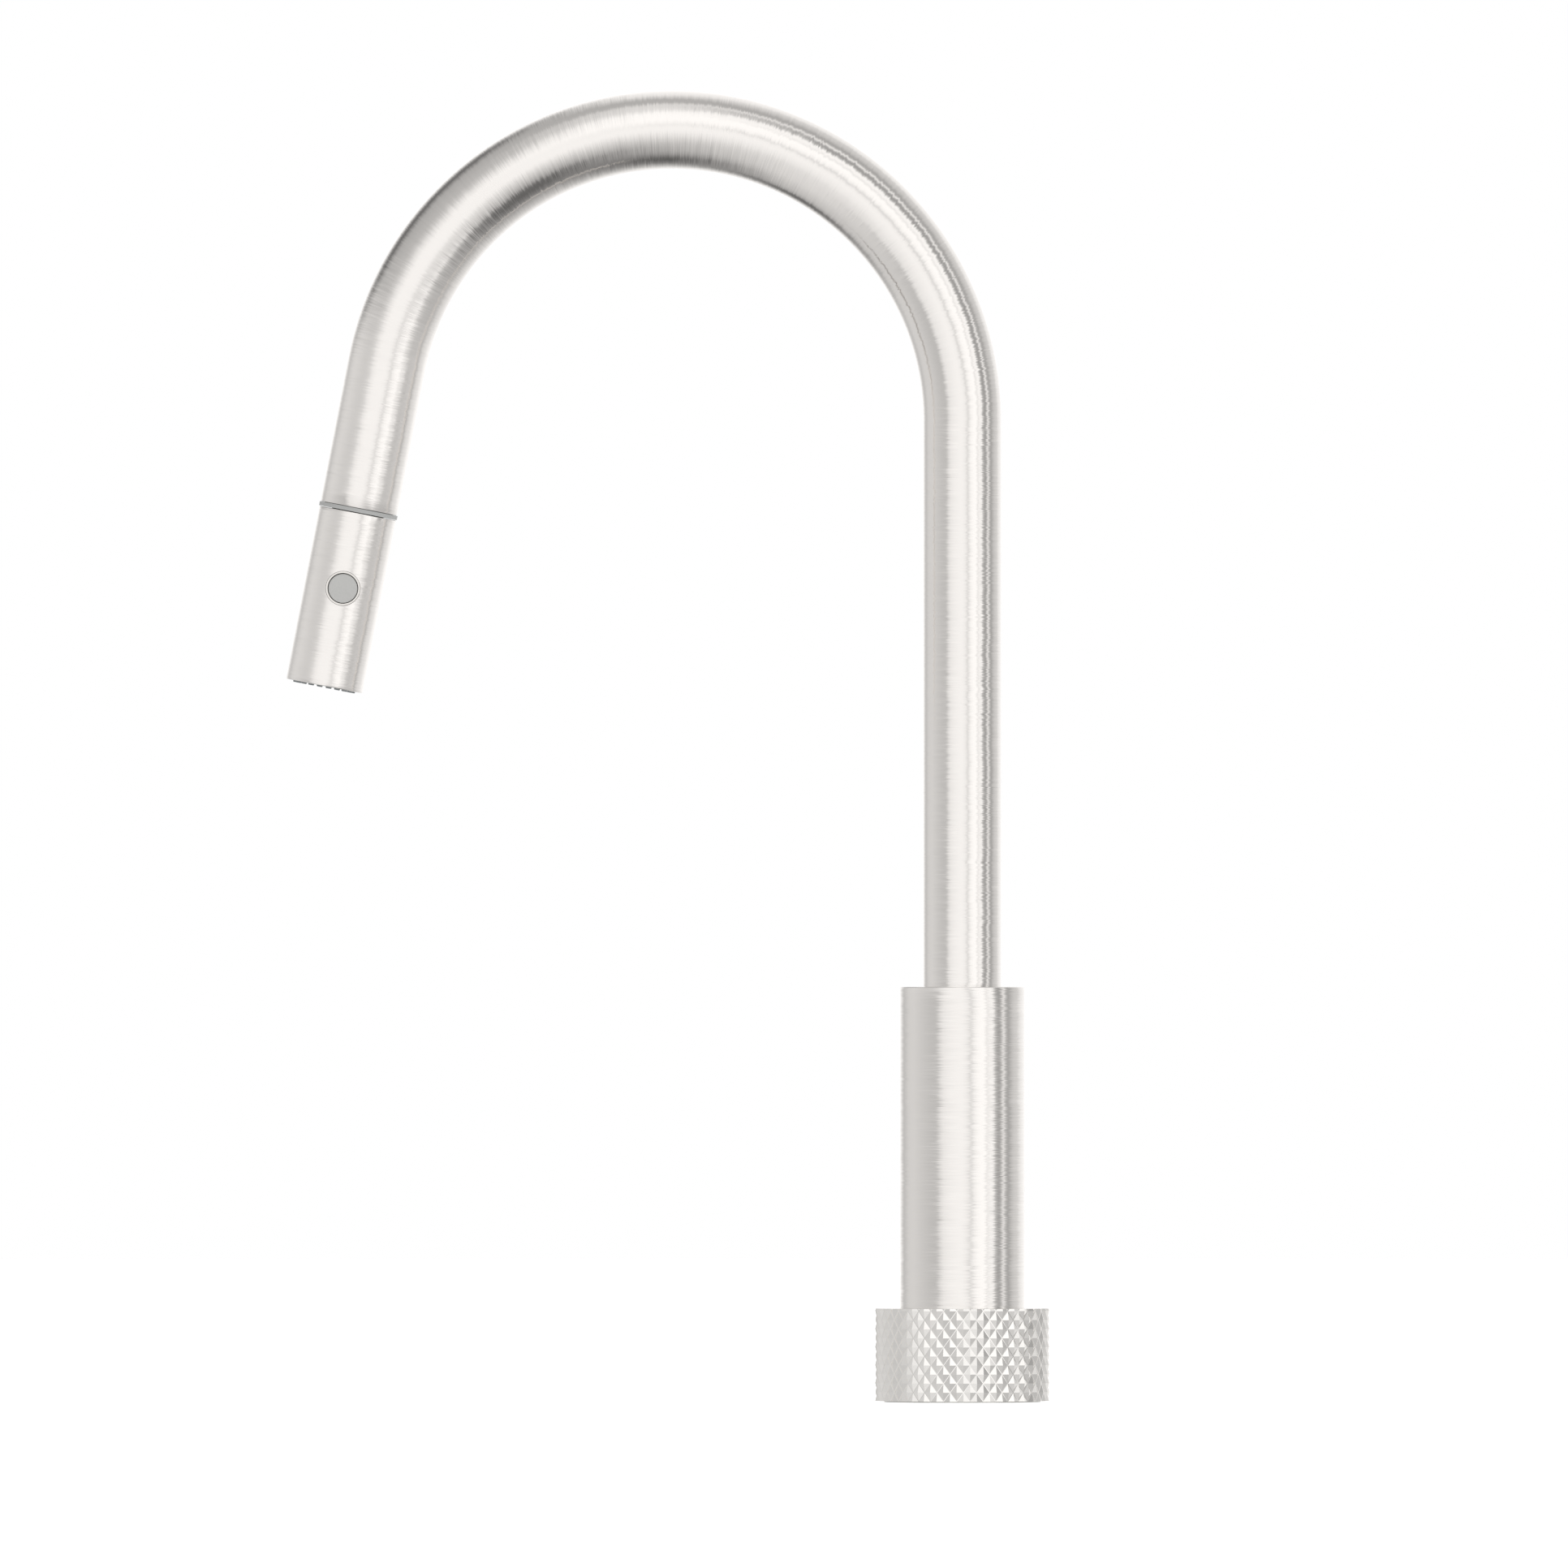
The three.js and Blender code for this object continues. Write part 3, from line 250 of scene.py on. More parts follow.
# Brushed nickel, the brush marks running round the tube: bands of light stay sharp across the tube and blur
# along it, with fine lines that show where a bright band meets a dark one. Real brush lines are a few
# hundredths of a millimetre wide, and are drawn at 0.35 mm so that they show.
brush = {
    "colour": "f4f1ee", "roughness": 0.14, "roughnessSpread": 0.03, "stretch": 0.6,
    "lineWidth": 0.00035, "lineLength": 0.012, "lineTilt": 0.26,
    "bandWidth": 0.0016, "bandLength": 0.03, "bandTilt": 0.07, "sideTilt": 0.2,
    "radius": 0.0125,
}
tubeMetal = brushedMetal("nickel_brushed_round", brush)
bodyMetal = brushedMetal("nickel_brushed_body", brush | {"radius": 0.02})


def millMetal(name, colour, roughness, grain=0.0006, variation=0.06, tilt=0.0):
    # Metal with a machined or plated skin: small uneven patches of roughness, and a slight unevenness. The
    # patches are drawn about 1 mm across, coarser than real, so that they show.
    material, tree, shader = newMaterial(name, colour, Metallic=1.0)
    place = addNode(tree, "TexCoord").node.outputs["Object"]
    patches = addNode(tree, "TexNoise", {"Vector": place, "Scale": 1 / grain, "Detail": 3.0})
    tree.links.new(spread(tree, patches, roughness, variation), shader.inputs["Roughness"])
    if tilt:
        bump = addNode(tree, "Bump", {"Height": patches, "Distance": tilt, "Strength": 1.0})
        tree.links.new(bump, shader.inputs["Normal"])
    return material


# Knurled nickel: flat cut facets, each with an even satin shine.
knurlMetal = millMetal("nickel_knurled_cut", "f9f7f4", 0.13, grain=0.0009, variation=0.04)
# Polished nickel trim: a crisp mirror line round the button.
trimMetal = millMetal("nickel_polished", "e8e5e1", 0.12, grain=0.002, variation=0.03)
# Zinc-plated steel: pins, washers, pipes and springs, duller than the nickel.
steelMetal = millMetal("steel_zinc_plated", "cfcfcb", 0.34, grain=0.0012, variation=0.08)
# Turned brass: the foot, shank and nut under the deck.
brassMetal = millMetal("brass_turned", "d9b877", 0.32, grain=0.0012, variation=0.08)


def mouldedPlastic(name, colour, roughness, grain, depth, sheen=0.0):
    # Moulded plastic or rubber: a fine spark-eroded grain in its surface, and slightly uneven gloss. Real
    # grain is about 0.1 mm, and is drawn at 0.5 mm or more so that it shows.
    material, tree, shader = newMaterial(name, colour)
    place = addNode(tree, "TexCoord").node.outputs["Object"]
    skin = addNode(tree, "TexNoise", {"Vector": place, "Scale": 1 / grain, "Detail": 4.0})
    cloud = addNode(tree, "TexNoise", {"Vector": place, "Scale": 120.0, "Detail": 2.0})
    tree.links.new(spread(tree, cloud, roughness, 0.05), shader.inputs["Roughness"])
    bump = addNode(tree, "Bump", {"Height": skin, "Distance": depth, "Strength": 1.0})
    tree.links.new(bump, shader.inputs["Normal"])
    shader.inputs["Sheen Weight"].default_value = sheen
    return material


# Grey moulded button and spray face: matt, with a fine grain.
greyPlastic = mouldedPlastic("plastic_grey_moulded", "b3b3b1", 0.5, 0.0005, 0.00001)
# Grey plastic of the dock ring, painted darker than the button's: painted shade of the seam between spout and
# head.
dockShadedPlastic = mouldedPlastic("plastic_dock_grey_shaded", "a6a7a6", 0.5, 0.0005, 0.00001)
# Dark grey glass-filled plastic: the valve block and chamber.
darkPlastic = mouldedPlastic("plastic_dark_glass_filled", "3a3c3e", 0.55, 0.0006, 0.00002)
# Natural nylon: washers, bands and the hose guide, slightly waxy.
nylonPlastic = mouldedPlastic("nylon_natural", "ece8dd", 0.5, 0.0008, 0.00001)
# Black nitrile rubber: seals and gaskets, dull.
rubberSkin = mouldedPlastic("rubber_nitrile", "26272a", 0.75, 0.0007, 0.00002, sheen=0.1)
# Grey silicone: the spray nozzles, soft and a little shiny.
siliconeSkin = mouldedPlastic("silicone_grey", "6e7274", 0.45, 0.0006, 0.00001, sheen=0.1)
# Lapped alumina: the two valve discs, nearly white and smooth.
ceramicSkin = mouldedPlastic("alumina_lapped", "f3f0ea", 0.18, 0.0009, 0.000002)


def braidedHose(name, colour, dark, coords):
    # Nylon braid over a hose: two sets of yarns wind opposite ways and cross over and under.
    material, tree, shader = newMaterial(name, colour, Roughness=0.55, Sheen_Weight=0.3)
    angle, along = coords(tree)
    yarns = {"number": 12, "lay": 0.0105}
    rate = 2 * math.pi * yarns["number"] / (4 * yarns["lay"])
    wind = addNode(tree, "Math", along, rate, operation="MULTIPLY")
    turns = addNode(tree, "Math", angle, float(yarns["number"]), operation="MULTIPLY")
    first = addNode(tree, "Math", turns, wind, operation="ADD")
    first = addNode(tree, "Math", first, operation="SINE")
    second = addNode(tree, "Math", turns, wind, operation="SUBTRACT")
    second = addNode(tree, "Math", second, operation="SINE")
    weave = addNode(tree, "Math", first, second, operation="MULTIPLY")
    weave = addNode(tree, "Math", weave, operation="ABSOLUTE")
    height = addNode(tree, "Math", weave, 0.5, operation="POWER")
    mixed = addNode(tree, "Mix", {0: height, 6: hexColour(dark), 7: hexColour(colour)},
                    data_type="RGBA").node.outputs[2]
    tree.links.new(mixed, shader.inputs["Base Color"])
    bump = addNode(tree, "Bump", {"Height": height, "Distance": 0.0004, "Strength": 1.0})
    tree.links.new(bump, shader.inputs["Normal"])
    return material


def coordsFromUv(tree):
    uv = addNode(tree, "UVMap")
    axes = addNode(tree, "SeparateXYZ", {0: uv}).node.outputs
    return addNode(tree, "Math", axes["Y"], 2 * math.pi, operation="MULTIPLY"), axes["X"]


# Places, from the joints and the CAD nodes.

joints = {joint["name"]: joint for joint in frame["joints"]}
spin = joints["head_spin"]
legDown = Vector(joints["head_pull"]["axis"]).normalized()
legIn = Vector((-legDown.z, 0, legDown.x))
bendRadius = 0.0932


def bendEnds():
    # The leg's line runs through the head's swivel, and the bend joins it to the body's axis.
    point = Vector(spin["pos_m"])
    step = (-bendRadius - bendRadius * legIn.x - point.x) / legDown.x
    centreZ = point.z + step * legDown.z + bendRadius * legIn.z
    centre = Vector((-bendRadius, 0, centreZ))
    return centre, centre - bendRadius * legIn


bendCentre, legTop = bendEnds()
tilt = math.atan2(-legDown.x, -legDown.z)
legFrame = Matrix.Translation(legTop) @ Matrix.Rotation(tilt, 4, "Y")
upright = Matrix.Identity(4)


def extent(node, place):
    # A CAD node's lowest and highest corner, in the given frame.
    back = place.inverted()
    points = [back @ v.co for v in frame["nodes"][node].data.vertices]
    low = Vector([min(p[i] for p in points) for i in range(3)])
    high = Vector([max(p[i] for p in points) for i in range(3)])
    return low, high


def coordsFromLeg(tree):
    # The hose slides through this pattern, so the braid keeps its size however far the hose is drawn out.
    place = addNode(tree, "TexCoord").node.outputs["Object"]
    local = addNode(tree, "VectorMath", place, legTop, operation="SUBTRACT")
    side = addNode(tree, "VectorMath", local, legIn, operation="DOT_PRODUCT").node.outputs["Value"]
    along = addNode(tree, "VectorMath", local, legDown, operation="DOT_PRODUCT").node.outputs["Value"]
    depth = addNode(tree, "SeparateXYZ", {0: local}).node.outputs["Y"]
    return addNode(tree, "Math", depth, side, operation="ARCTAN2"), along


braidRun = braidedHose("hose_nylon_braid", "a7abae", "4b4e51", coordsFromUv)
braidLead = braidedHose("hose_nylon_braid_leg", "a7abae", "4b4e51", coordsFromLeg)


# Shapes.

def addPiece(name, vertices, faces, corners, material, body, nodes=(), place=upright, sharp=35, slot=None):
    # A mesh piece with a UV for each face corner, riding on a body in place of CAD nodes.
    mesh = bpy.data.meshes.new(name)
    mesh.from_pydata([tuple(v) for v in vertices], [], faces)
    layer = mesh.uv_layers.new(name="UVMap")
    flat = [value for corner in corners for value in corner]
    layer.data.foreach_set("uv", flat)
    mesh.materials.append(material)
    mesh.validate()
    mesh.shade_smooth()
    mesh.set_sharp_from_angle(angle=math.radians(sharp))
    piece = bpy.data.objects.new(name, mesh)
    scene.collection.objects.link(piece)
    piece.matrix_world = place
    if body:
        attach(piece, body)
    if nodes:
        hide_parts(*nodes)
    return piece


def filleted(profile, radius, steps=3, closed=True):
    # The profile with its corners rounded off. A corner can carry its own radius as a third number.
    result = []
    count = len(profile)
    for i, corner in enumerate(profile):
        here = Vector(corner[:2])
        size = corner[2] if len(corner) > 2 else radius
        if size <= 0 or (not closed and i in (0, count - 1)):
            result.append(here)
            continue
        before = Vector(profile[i - 1][:2]) - here
        after = Vector(profile[(i + 1) % count][:2]) - here
        angle = before.angle(after)
        if angle > math.radians(170):
            result.append(here)
            continue
        reach = min(size / math.tan(angle / 2), 0.45 * before.length, 0.45 * after.length)
        start, end = here + before.normalized() * reach, here + after.normalized() * reach
        for s in range(steps + 1):
            t = s / steps
            result.append((1 - t) ** 2 * start + 2 * t * (1 - t) * here + t ** 2 * end)
    return result


def splitLong(profile, longest, closed=True):
    # Long edges are split, so that a cut or a bend in them stays smooth.
    result = []
    count = len(profile)
    for i, here in enumerate(profile):
        result.append(here)
        if i == count - 1 and not closed:
            break
        there = profile[(i + 1) % count]
        pieces = max(1, math.ceil((there - here).length / longest))
        result += [here.lerp(there, s / pieces) for s in range(1, pieces)]
    return result


def turned(name, profile, material, body, nodes=(), place=upright, sides=128, closed=True,
           radiusOf=None, **more):
    # A profile of (radius, height) turned round the piece's own Z axis. Its seam is at the back.
    count = len(profile)
    vertices, faces, corners = [], [], []
    for r, z in profile:
        for s in range(sides):
            angle = math.radians(90) + 2 * math.pi * s / sides
            radius = radiusOf(r, z, angle) if radiusOf else r
            vertices.append((radius * math.cos(angle), radius * math.sin(angle), z))
    lengths = [0.0]
    for i in range(1, count + 1):
        lengths.append(lengths[-1] + (profile[i % count] - profile[i - 1]).length)
    for i in range(count if closed else count - 1):
        a, b = i * sides, ((i + 1) % count) * sides
        for s in range(sides):
            t = (s + 1) % sides
            faces.append((a + s, a + t, b + t, b + s))
            u, w = lengths[i], lengths[i + 1]
            corners += [(u, s / sides), (u, (s + 1) / sides), (w, (s + 1) / sides), (w, s / sides)]
    return addPiece(name, vertices, faces, corners, material, body, nodes, place, **more)


def swept(name, centres, normals, radii, material, body, nodes=(), sides=128, **more):
    # A round section carried along a path in the XZ plane. radii gives each ring's radius, a tube's wall
    # being two runs of rings, and the ends are closed where the radius ends at zero.
    count = len(centres)
    vertices, faces, corners = [], [], []
    lengths = [0.0]
    for i in range(1, count):
        step = (centres[i] - centres[i - 1]).length + abs(radii[i] - radii[i - 1])
        lengths.append(lengths[-1] + step)
    for centre, normal, radius in zip(centres, normals, radii):
        for s in range(sides):
            angle = math.radians(90) + 2 * math.pi * s / sides
            out = math.cos(angle) * normal + math.sin(angle) * Vector((0, 1, 0))
            vertices.append(centre + radius * out)
    for i in range(count - 1):
        for s in range(sides):
            t = (s + 1) % sides
            a, b = i * sides, (i + 1) * sides
            faces.append((a + s, a + t, b + t, b + s))
            u, w = lengths[i], lengths[i + 1]
            corners += [(u, s / sides), (u, (s + 1) / sides), (w, (s + 1) / sides), (w, s / sides)]
    return addPiece(name, vertices, faces, corners, material, body, nodes, **more)


def goosenecks(bottom, legEnd, rings=120):
    # The spout's centre line, from a height on the body's axis to a depth down the leg, with side normals.
    centres = [Vector((0, 0, bottom + (bendCentre.z - bottom) * s / 40)) for s in range(40)]
    normals = [Vector((1, 0, 0))] * 40
    sweep = math.pi - tilt
    for s in range(rings + 1):
        angle = sweep * s / rings
        out = Vector((math.cos(angle), 0, math.sin(angle)))
        centres.append(bendCentre + bendRadius * out)
        normals.append(out)
    for s in range(1, 13):
        centres.append(legTop + legDown * legEnd * s / 12)
        normals.append(-legIn)
    return centres, normals


def cutAway(piece, name, radius, low, high, place, sides=96):
    # A round hole through a piece, along the Z axis of the given frame.
    profile = [Vector((0, low)), Vector((radius, low)), Vector((radius, high)), Vector((0, high))]
    tool = turned(name, profile, piece.data.materials[0], None, place=place, sides=sides, closed=False)
    bpy.context.view_layer.update()
    modifier = piece.modifiers.new("hole", "BOOLEAN")
    modifier.object = tool
    modifier.solver = "EXACT"
    finished = bpy.data.meshes.new_from_object(piece.evaluated_get(bpy.context.evaluated_depsgraph_get()))
    piece.modifiers.clear()
    old = piece.data
    piece.data = finished
    finished.name = old.name
    bpy.data.meshes.remove(old)
    bpy.data.objects.remove(tool)
    finished.set_sharp_from_angle(angle=math.radians(35))


# Spout tube.

tubeSizes = {"radius": 0.0125, "bore": 0.0113, "leg": 0.0469, "edge": 0.0002}
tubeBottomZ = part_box("spout_tube")[0].z
tubeR, tubeBoreR = tubeSizes["radius"], tubeSizes["bore"]
centres, normals = goosenecks(tubeBottomZ, tubeSizes["leg"])
rounding = tubeSizes["edge"]


def tubeWalls():
    # Up the outside, over the rounded end, and back up the inside.
    last = centres[-1]
    outside = [tubeR] * (len(centres) - 1)
    path = list(centres[:-1]) + [last - legDown * rounding, last - legDown * rounding * 0.3, last, last]
    sides = list(normals[:-1]) + [normals[-1]] * 4
    radii = outside + [tubeR, tubeR - rounding * 0.3, tubeR - rounding, tubeBoreR]
    inner = list(reversed(list(zip(centres[:-1], normals[:-1]))))
    path += [centre for centre, normal in inner] + [centres[0]]
    sides += [normal for centre, normal in inner] + [normals[0]]
    radii += [tubeBoreR] * len(inner) + [tubeR]
    return path, sides, radii


path, sideways, radii = tubeWalls()
swept("spout_tube_skin", path, sideways, radii, tubeMetal, "spout", ["spout_tube"],
      sides=160, slot="brushed_nickel")
print("spout tube made")


# Body sleeve.

sleeveSizes = {
    "edge": 0.0003, "roofBore": 0.0129, "wall": 0.0025, "roof": 0.0035, "screwHole": 0.0022,
    "screwFrom": 0.0165, "screwTo": 0.021,
}
sleeveLow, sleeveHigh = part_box("body_sleeve")
bodyR = sleeveHigh.x


def sleeveProfile():
    bore = bodyR - sleeveSizes["wall"]
    bottom, top = sleeveLow.z, sleeveHigh.z
    under = top - sleeveSizes["roof"]
    profile = [(bore, bottom, 0), (bodyR, bottom, 0.0002), (bodyR, top, sleeveSizes["edge"]),
               (sleeveSizes["roofBore"], top, 0.0002), (sleeveSizes["roofBore"], under, 0), (bore, under, 0)]
    return splitLong(filleted(profile, 0), 0.004)


bodySleeve = turned("body_sleeve_skin", sleeveProfile(), bodyMetal, "root", ["body_sleeve"],
                    sides=192, slot="brushed_nickel")
screwLow, screwHigh = extent("spout_stop_screw", upright)
screwPlace = Matrix.Translation((0, 0, screwLow.z / 2 + screwHigh.z / 2))
screwFrame = screwPlace @ Matrix.Rotation(math.radians(90), 4, "Y")
cutAway(bodySleeve, "screw_hole", sleeveSizes["screwHole"], sleeveSizes["screwFrom"], sleeveSizes["screwTo"],
        screwFrame)
print("body sleeve made")


# Knurled ring.

ringSizes = {
    "columns": 80, "rowHeight": 0.0029, "valley": 0.0273, "tip": 0.028, "turn": 0.6,
    "valleyShare": 0.06, "bore": 0.0204, "footBore": 0.0254, "footDepth": 0.0034, "land": 0.0262,
    "bandGap": 0.0002, "bandSlack": 0.0001, "insideSides": 160,
}
ringLow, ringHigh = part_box("control_ring")
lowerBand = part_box("lower_ring_band")
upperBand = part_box("upper_ring_band")


def knurledRing():
    # Pyramids stand in a diamond grid with narrow flat valleys between them. Both ends of the ring are cut
    # straight through the pattern.
    columns, rowHeight = ringSizes["columns"], ringSizes["rowHeight"]
    valley, tip, share = ringSizes["valley"], ringSizes["tip"], ringSizes["valleyShare"]
    bottom, top = ringLow.z, ringHigh.z
    rows = math.ceil((top - bottom) / rowHeight)
    vertices, faces, index = [], [], {}

    def point(column, row):
        key = (round(column * 1000) % (columns * 1000), round(row * 1000))
        if key in index:
            return index[key]
        cornerColumn, cornerRow = math.floor(column + 1e-6), math.floor(row + 1e-6)
        across, up = column - cornerColumn, row - cornerRow
        tall = abs(1 - across - up) if (cornerColumn + cornerRow) % 2 == 0 else abs(across - up)
        radius = valley + (tip - valley) * max(tall - share, 0) / (1 - share)
        angle = math.radians(360 * column / columns - 90 + ringSizes["turn"])
        vertices.append((radius * math.cos(angle), radius * math.sin(angle), bottom + row * rowHeight))
        index[key] = len(vertices) - 1
        return index[key]

    topRow = (top - bottom) / rowHeight
    for row in range(rows):
        for column in range(columns):
            if (column + row) % 2 == 0:
                first, last = ((0, 0), (1, 0), (0, 1)), ((1, 1), (0, 1), (1, 0))
            else:
                first, last = ((1, 0), (1, 1), (0, 0)), ((0, 1), (0, 0), (1, 1))
            flats = []
            for tipCorner, one, other in (first, last):
                edge = []
                for valleyCorner in (one, other):
                    edge.append(tuple(v + share * (t - v) for t, v in zip(tipCorner, valleyCorner)))
                flats.append((tipCorner, edge[0], edge[1]))
            a, b = flats
            strip = (a[1], first[1], b[2], b[1], first[2], a[2])
            for outline in (a, b, strip):
                clipped = clipBelow([(column + x, row + y) for x, y in outline], topRow)
                if len(clipped) > 2:
                    faces.append([point(x, y) for x, y in clipped])
    return vertices, faces, index, topRow


def clipBelow(outline, limit):
    # The part of an outline below a height.
    result = []
    for i, (x, y) in enumerate(outline):
        px, py = outline[i - 1]
        if (y > limit) != (py > limit):
            t = (limit - py) / (y - py)
            result.append((px + t * (x - px), limit))
        if y <= limit:
            result.append((x, y))
    return [p for i, p in enumerate(result)
            if abs(p[0] - result[i - 1][0]) + abs(p[1] - result[i - 1][1]) > 1e-5]


def ringPiece():
    vertices, faces, index, topRow = knurledRing()
    columns = ringSizes["columns"] * 1000
    bottom, top = ringLow.z, ringHigh.z
    ends = []
    for row in (0, topRow):
        level = [(key[0], v) for key, v in index.items() if key[1] == round(row * 1000)]
        ends.append([v for column, v in sorted(level)])
    bore, footBore, land = ringSizes["bore"], ringSizes["footBore"], ringSizes["land"]
    footDepth, slack = ringSizes["footDepth"], ringSizes["bandSlack"]
    groove = lowerBand[1].x + ringSizes["bandGap"]
    inside = [
        (land, bottom), (footBore, bottom), (footBore, footDepth), (bore, footDepth),
        (bore, lowerBand[0].z - slack), (groove, lowerBand[0].z - slack),
        (groove, lowerBand[1].z + slack), (bore, lowerBand[1].z + slack),
        (bore, upperBand[0].z - slack), (groove, upperBand[0].z - slack),
        (groove, upperBand[1].z + slack), (bore, upperBand[1].z + slack),
        (bore, top - 0.0002), (bore + 0.0002, top), (land, top),
    ]
    sides = ringSizes["insideSides"]
    start = len(vertices)
    for r, z in inside:
        for s in range(sides):
            angle = math.radians(ringSizes["turn"] - 90) + 2 * math.pi * s / sides
            vertices.append((r * math.cos(angle), r * math.sin(angle), z))
    for i in range(len(inside) - 1):
        for s in range(sides):
            t = (s + 1) % sides
            a, b = start + i * sides, start + (i + 1) * sides
            faces.append((a + t, a + s, b + s, b + t))
    faces += bridge(vertices, ends[0], [start + s for s in range(sides)], True)
    last = start + (len(inside) - 1) * sides
    faces += bridge(vertices, ends[1], [last + s for s in range(sides)], False)
    mesh = bpy.data.meshes.new("control_ring_skin")
    mesh.from_pydata(vertices, [], faces)
    mesh.materials.append(knurlMetal)
    mesh.validate()
    mesh.shade_smooth()
    mesh.set_sharp_from_angle(angle=math.radians(12))
    piece = bpy.data.objects.new("control_ring_skin", mesh)
    scene.collection.objects.link(piece)
    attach(piece, "control")
    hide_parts("control_ring")
    return piece


def bridge(vertices, outer, inner, flipped):
    # A flat ring of triangles between two loops that both run anticlockwise.
    def angleOf(v):
        return math.atan2(vertices[v][1], vertices[v][0]) % (2 * math.pi)

    def turnedTo(loop):
        first = min(range(len(loop)), key=lambda i: angleOf(loop[i]))
        return loop[first:] + loop[:first]

    outer, inner = turnedTo(list(outer)), turnedTo(list(inner))
    faces, i, j = [], 0, 0
    n, m = len(outer), len(inner)
    while i < n or j < m:
        nextOuter = angleOf(outer[(i + 1) % n]) + (2 * math.pi if i + 1 >= n else 0)
        nextInner = angleOf(inner[(j + 1) % m]) + (2 * math.pi if j + 1 >= m else 0)
        if j >= m or (i < n and nextOuter <= nextInner):
            face = (outer[i % n], outer[(i + 1) % n], inner[j % m])
            i += 1
        else:
            face = (outer[i % n], inner[(j + 1) % m], inner[j % m])
            j += 1
        faces.append(face[::-1] if flipped else face)
    return faces


ringPiece()
print("knurled ring made")


# Spray head.

headSizes = {"edge": 0.0003, "wall": 0.0012, "holeGap": 0.00008, "holeFrom": 0.002, "holeTo": 0.016}
shellLow, shellHigh = extent("head_shell", legFrame)
bezelLow, bezelHigh = extent("button_bezel", legFrame)
buttonZ = (bezelLow.z + bezelHigh.z) / 2
bezelR = (bezelHigh.z - bezelLow.z) / 2
buttonLow, buttonHigh = extent("spray_button", legFrame)
buttonR = (buttonHigh.z - buttonLow.z) / 2
buttonFrame = legFrame @ Matrix.Translation((0, 0, buttonZ)) @ Matrix.Rotation(math.radians(90), 4, "X")


def tubeProfile(inner, outer, bottom, top, edge, longest=0.003):
    profile = [(inner, bottom, edge * 0.6), (outer, bottom, edge), (outer, top, edge),
               (inner, top, edge * 0.6)]
    return splitLong(filleted(profile, edge), longest)


headShell = turned("head_shell_skin", tubeProfile(tubeR - headSizes["wall"], tubeR, shellLow.z, shellHigh.z,
                                                 headSizes["edge"], 0.0015),
                   tubeMetal, "spray_head", ["head_shell"], legFrame, sides=224, slot="brushed_nickel")
cutAway(headShell, "button_hole", bezelR + headSizes["holeGap"], headSizes["holeFrom"], headSizes["holeTo"],
        buttonFrame)

bezelSizes = {"width": 0.0006, "edge": 0.00008}
turned("button_bezel_skin", filleted(
    [(bezelR - bezelSizes["width"], -bezelHigh.y, 0), (bezelR, -bezelHigh.y, 0),
     (bezelR, -bezelLow.y, bezelSizes["edge"]),
     (bezelR - bezelSizes["width"], -bezelLow.y, bezelSizes["edge"])],
    0), trimMetal, "spray_head", ["button_bezel"], buttonFrame, sides=96, slot="polished_trim")

buttonSizes = {"edge": 0.0003, "dish": 0.00012, "stem": 0.00155, "thick": 0.0021}
face, back = -buttonLow.y, -buttonHigh.y
buttonBack = face - buttonSizes["thick"]
turned("spray_button_skin", filleted(
    [(0.00001, back, 0), (buttonSizes["stem"], back, 0), (buttonSizes["stem"], buttonBack, 0),
     (buttonR, buttonBack, 0), (buttonR, face, buttonSizes["edge"]), (buttonR * 0.8, face, 0.001),
     (buttonR * 0.45, face - buttonSizes["dish"], 0.002), (0.00001, face - buttonSizes["dish"], 0)],
    0, closed=False), greyPlastic, "button", ["spray_button"], buttonFrame, sides=96, closed=False,
    slot="grey_plastic")


springSizes = {"wire": 0.0005, "turns": 3.5, "stepsPerTurn": 28, "wireSides": 10}
springLow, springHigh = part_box("button_spring")


def springMesh():
    # A coil of round wire behind the button.
    wireR = springSizes["wire"] / 2
    middle = (springLow + springHigh) / 2
    coilR = (springHigh.x - springLow.x) / 2 - wireR
    first, last = springLow.y + wireR, springHigh.y - wireR
    steps, sides = round(springSizes["turns"] * springSizes["stepsPerTurn"]), springSizes["wireSides"]
    vertices, faces, corners = [], [], []
    for step in range(steps + 1):
        angle = 2 * math.pi * springSizes["turns"] * step / steps
        out = Vector((math.cos(angle), 0, math.sin(angle)))
        centre = Vector((middle.x, first + (last - first) * step / steps, middle.z)) + coilR * out
        for side in range(sides):
            around = 2 * math.pi * side / sides
            vertices.append(centre + wireR * (math.cos(around) * out + math.sin(around) * Vector((0, 1, 0))))
    for step in range(steps):
        for side in range(sides):
            beside = (side + 1) % sides
            a, b = step * sides, (step + 1) * sides
            faces.append((a + side, a + beside, b + beside, b + side))
            u, w = step / steps, (step + 1) / steps
            corners += [(u, side / sides), (u, (side + 1) / sides),
                        (w, (side + 1) / sides), (w, side / sides)]
    for ring, order in ((0, -1), (steps * sides, 1)):
        faces.append(tuple(ring + side for side in range(sides))[::order])
        corners += [(0, side / sides) for side in range(sides)]
    return vertices, faces, corners


springSkin = addPiece("button_spring_skin", *springMesh(), steelMetal, "spray_head", ["button_spring"],
                      slot="plated_steel")
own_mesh(springSkin)

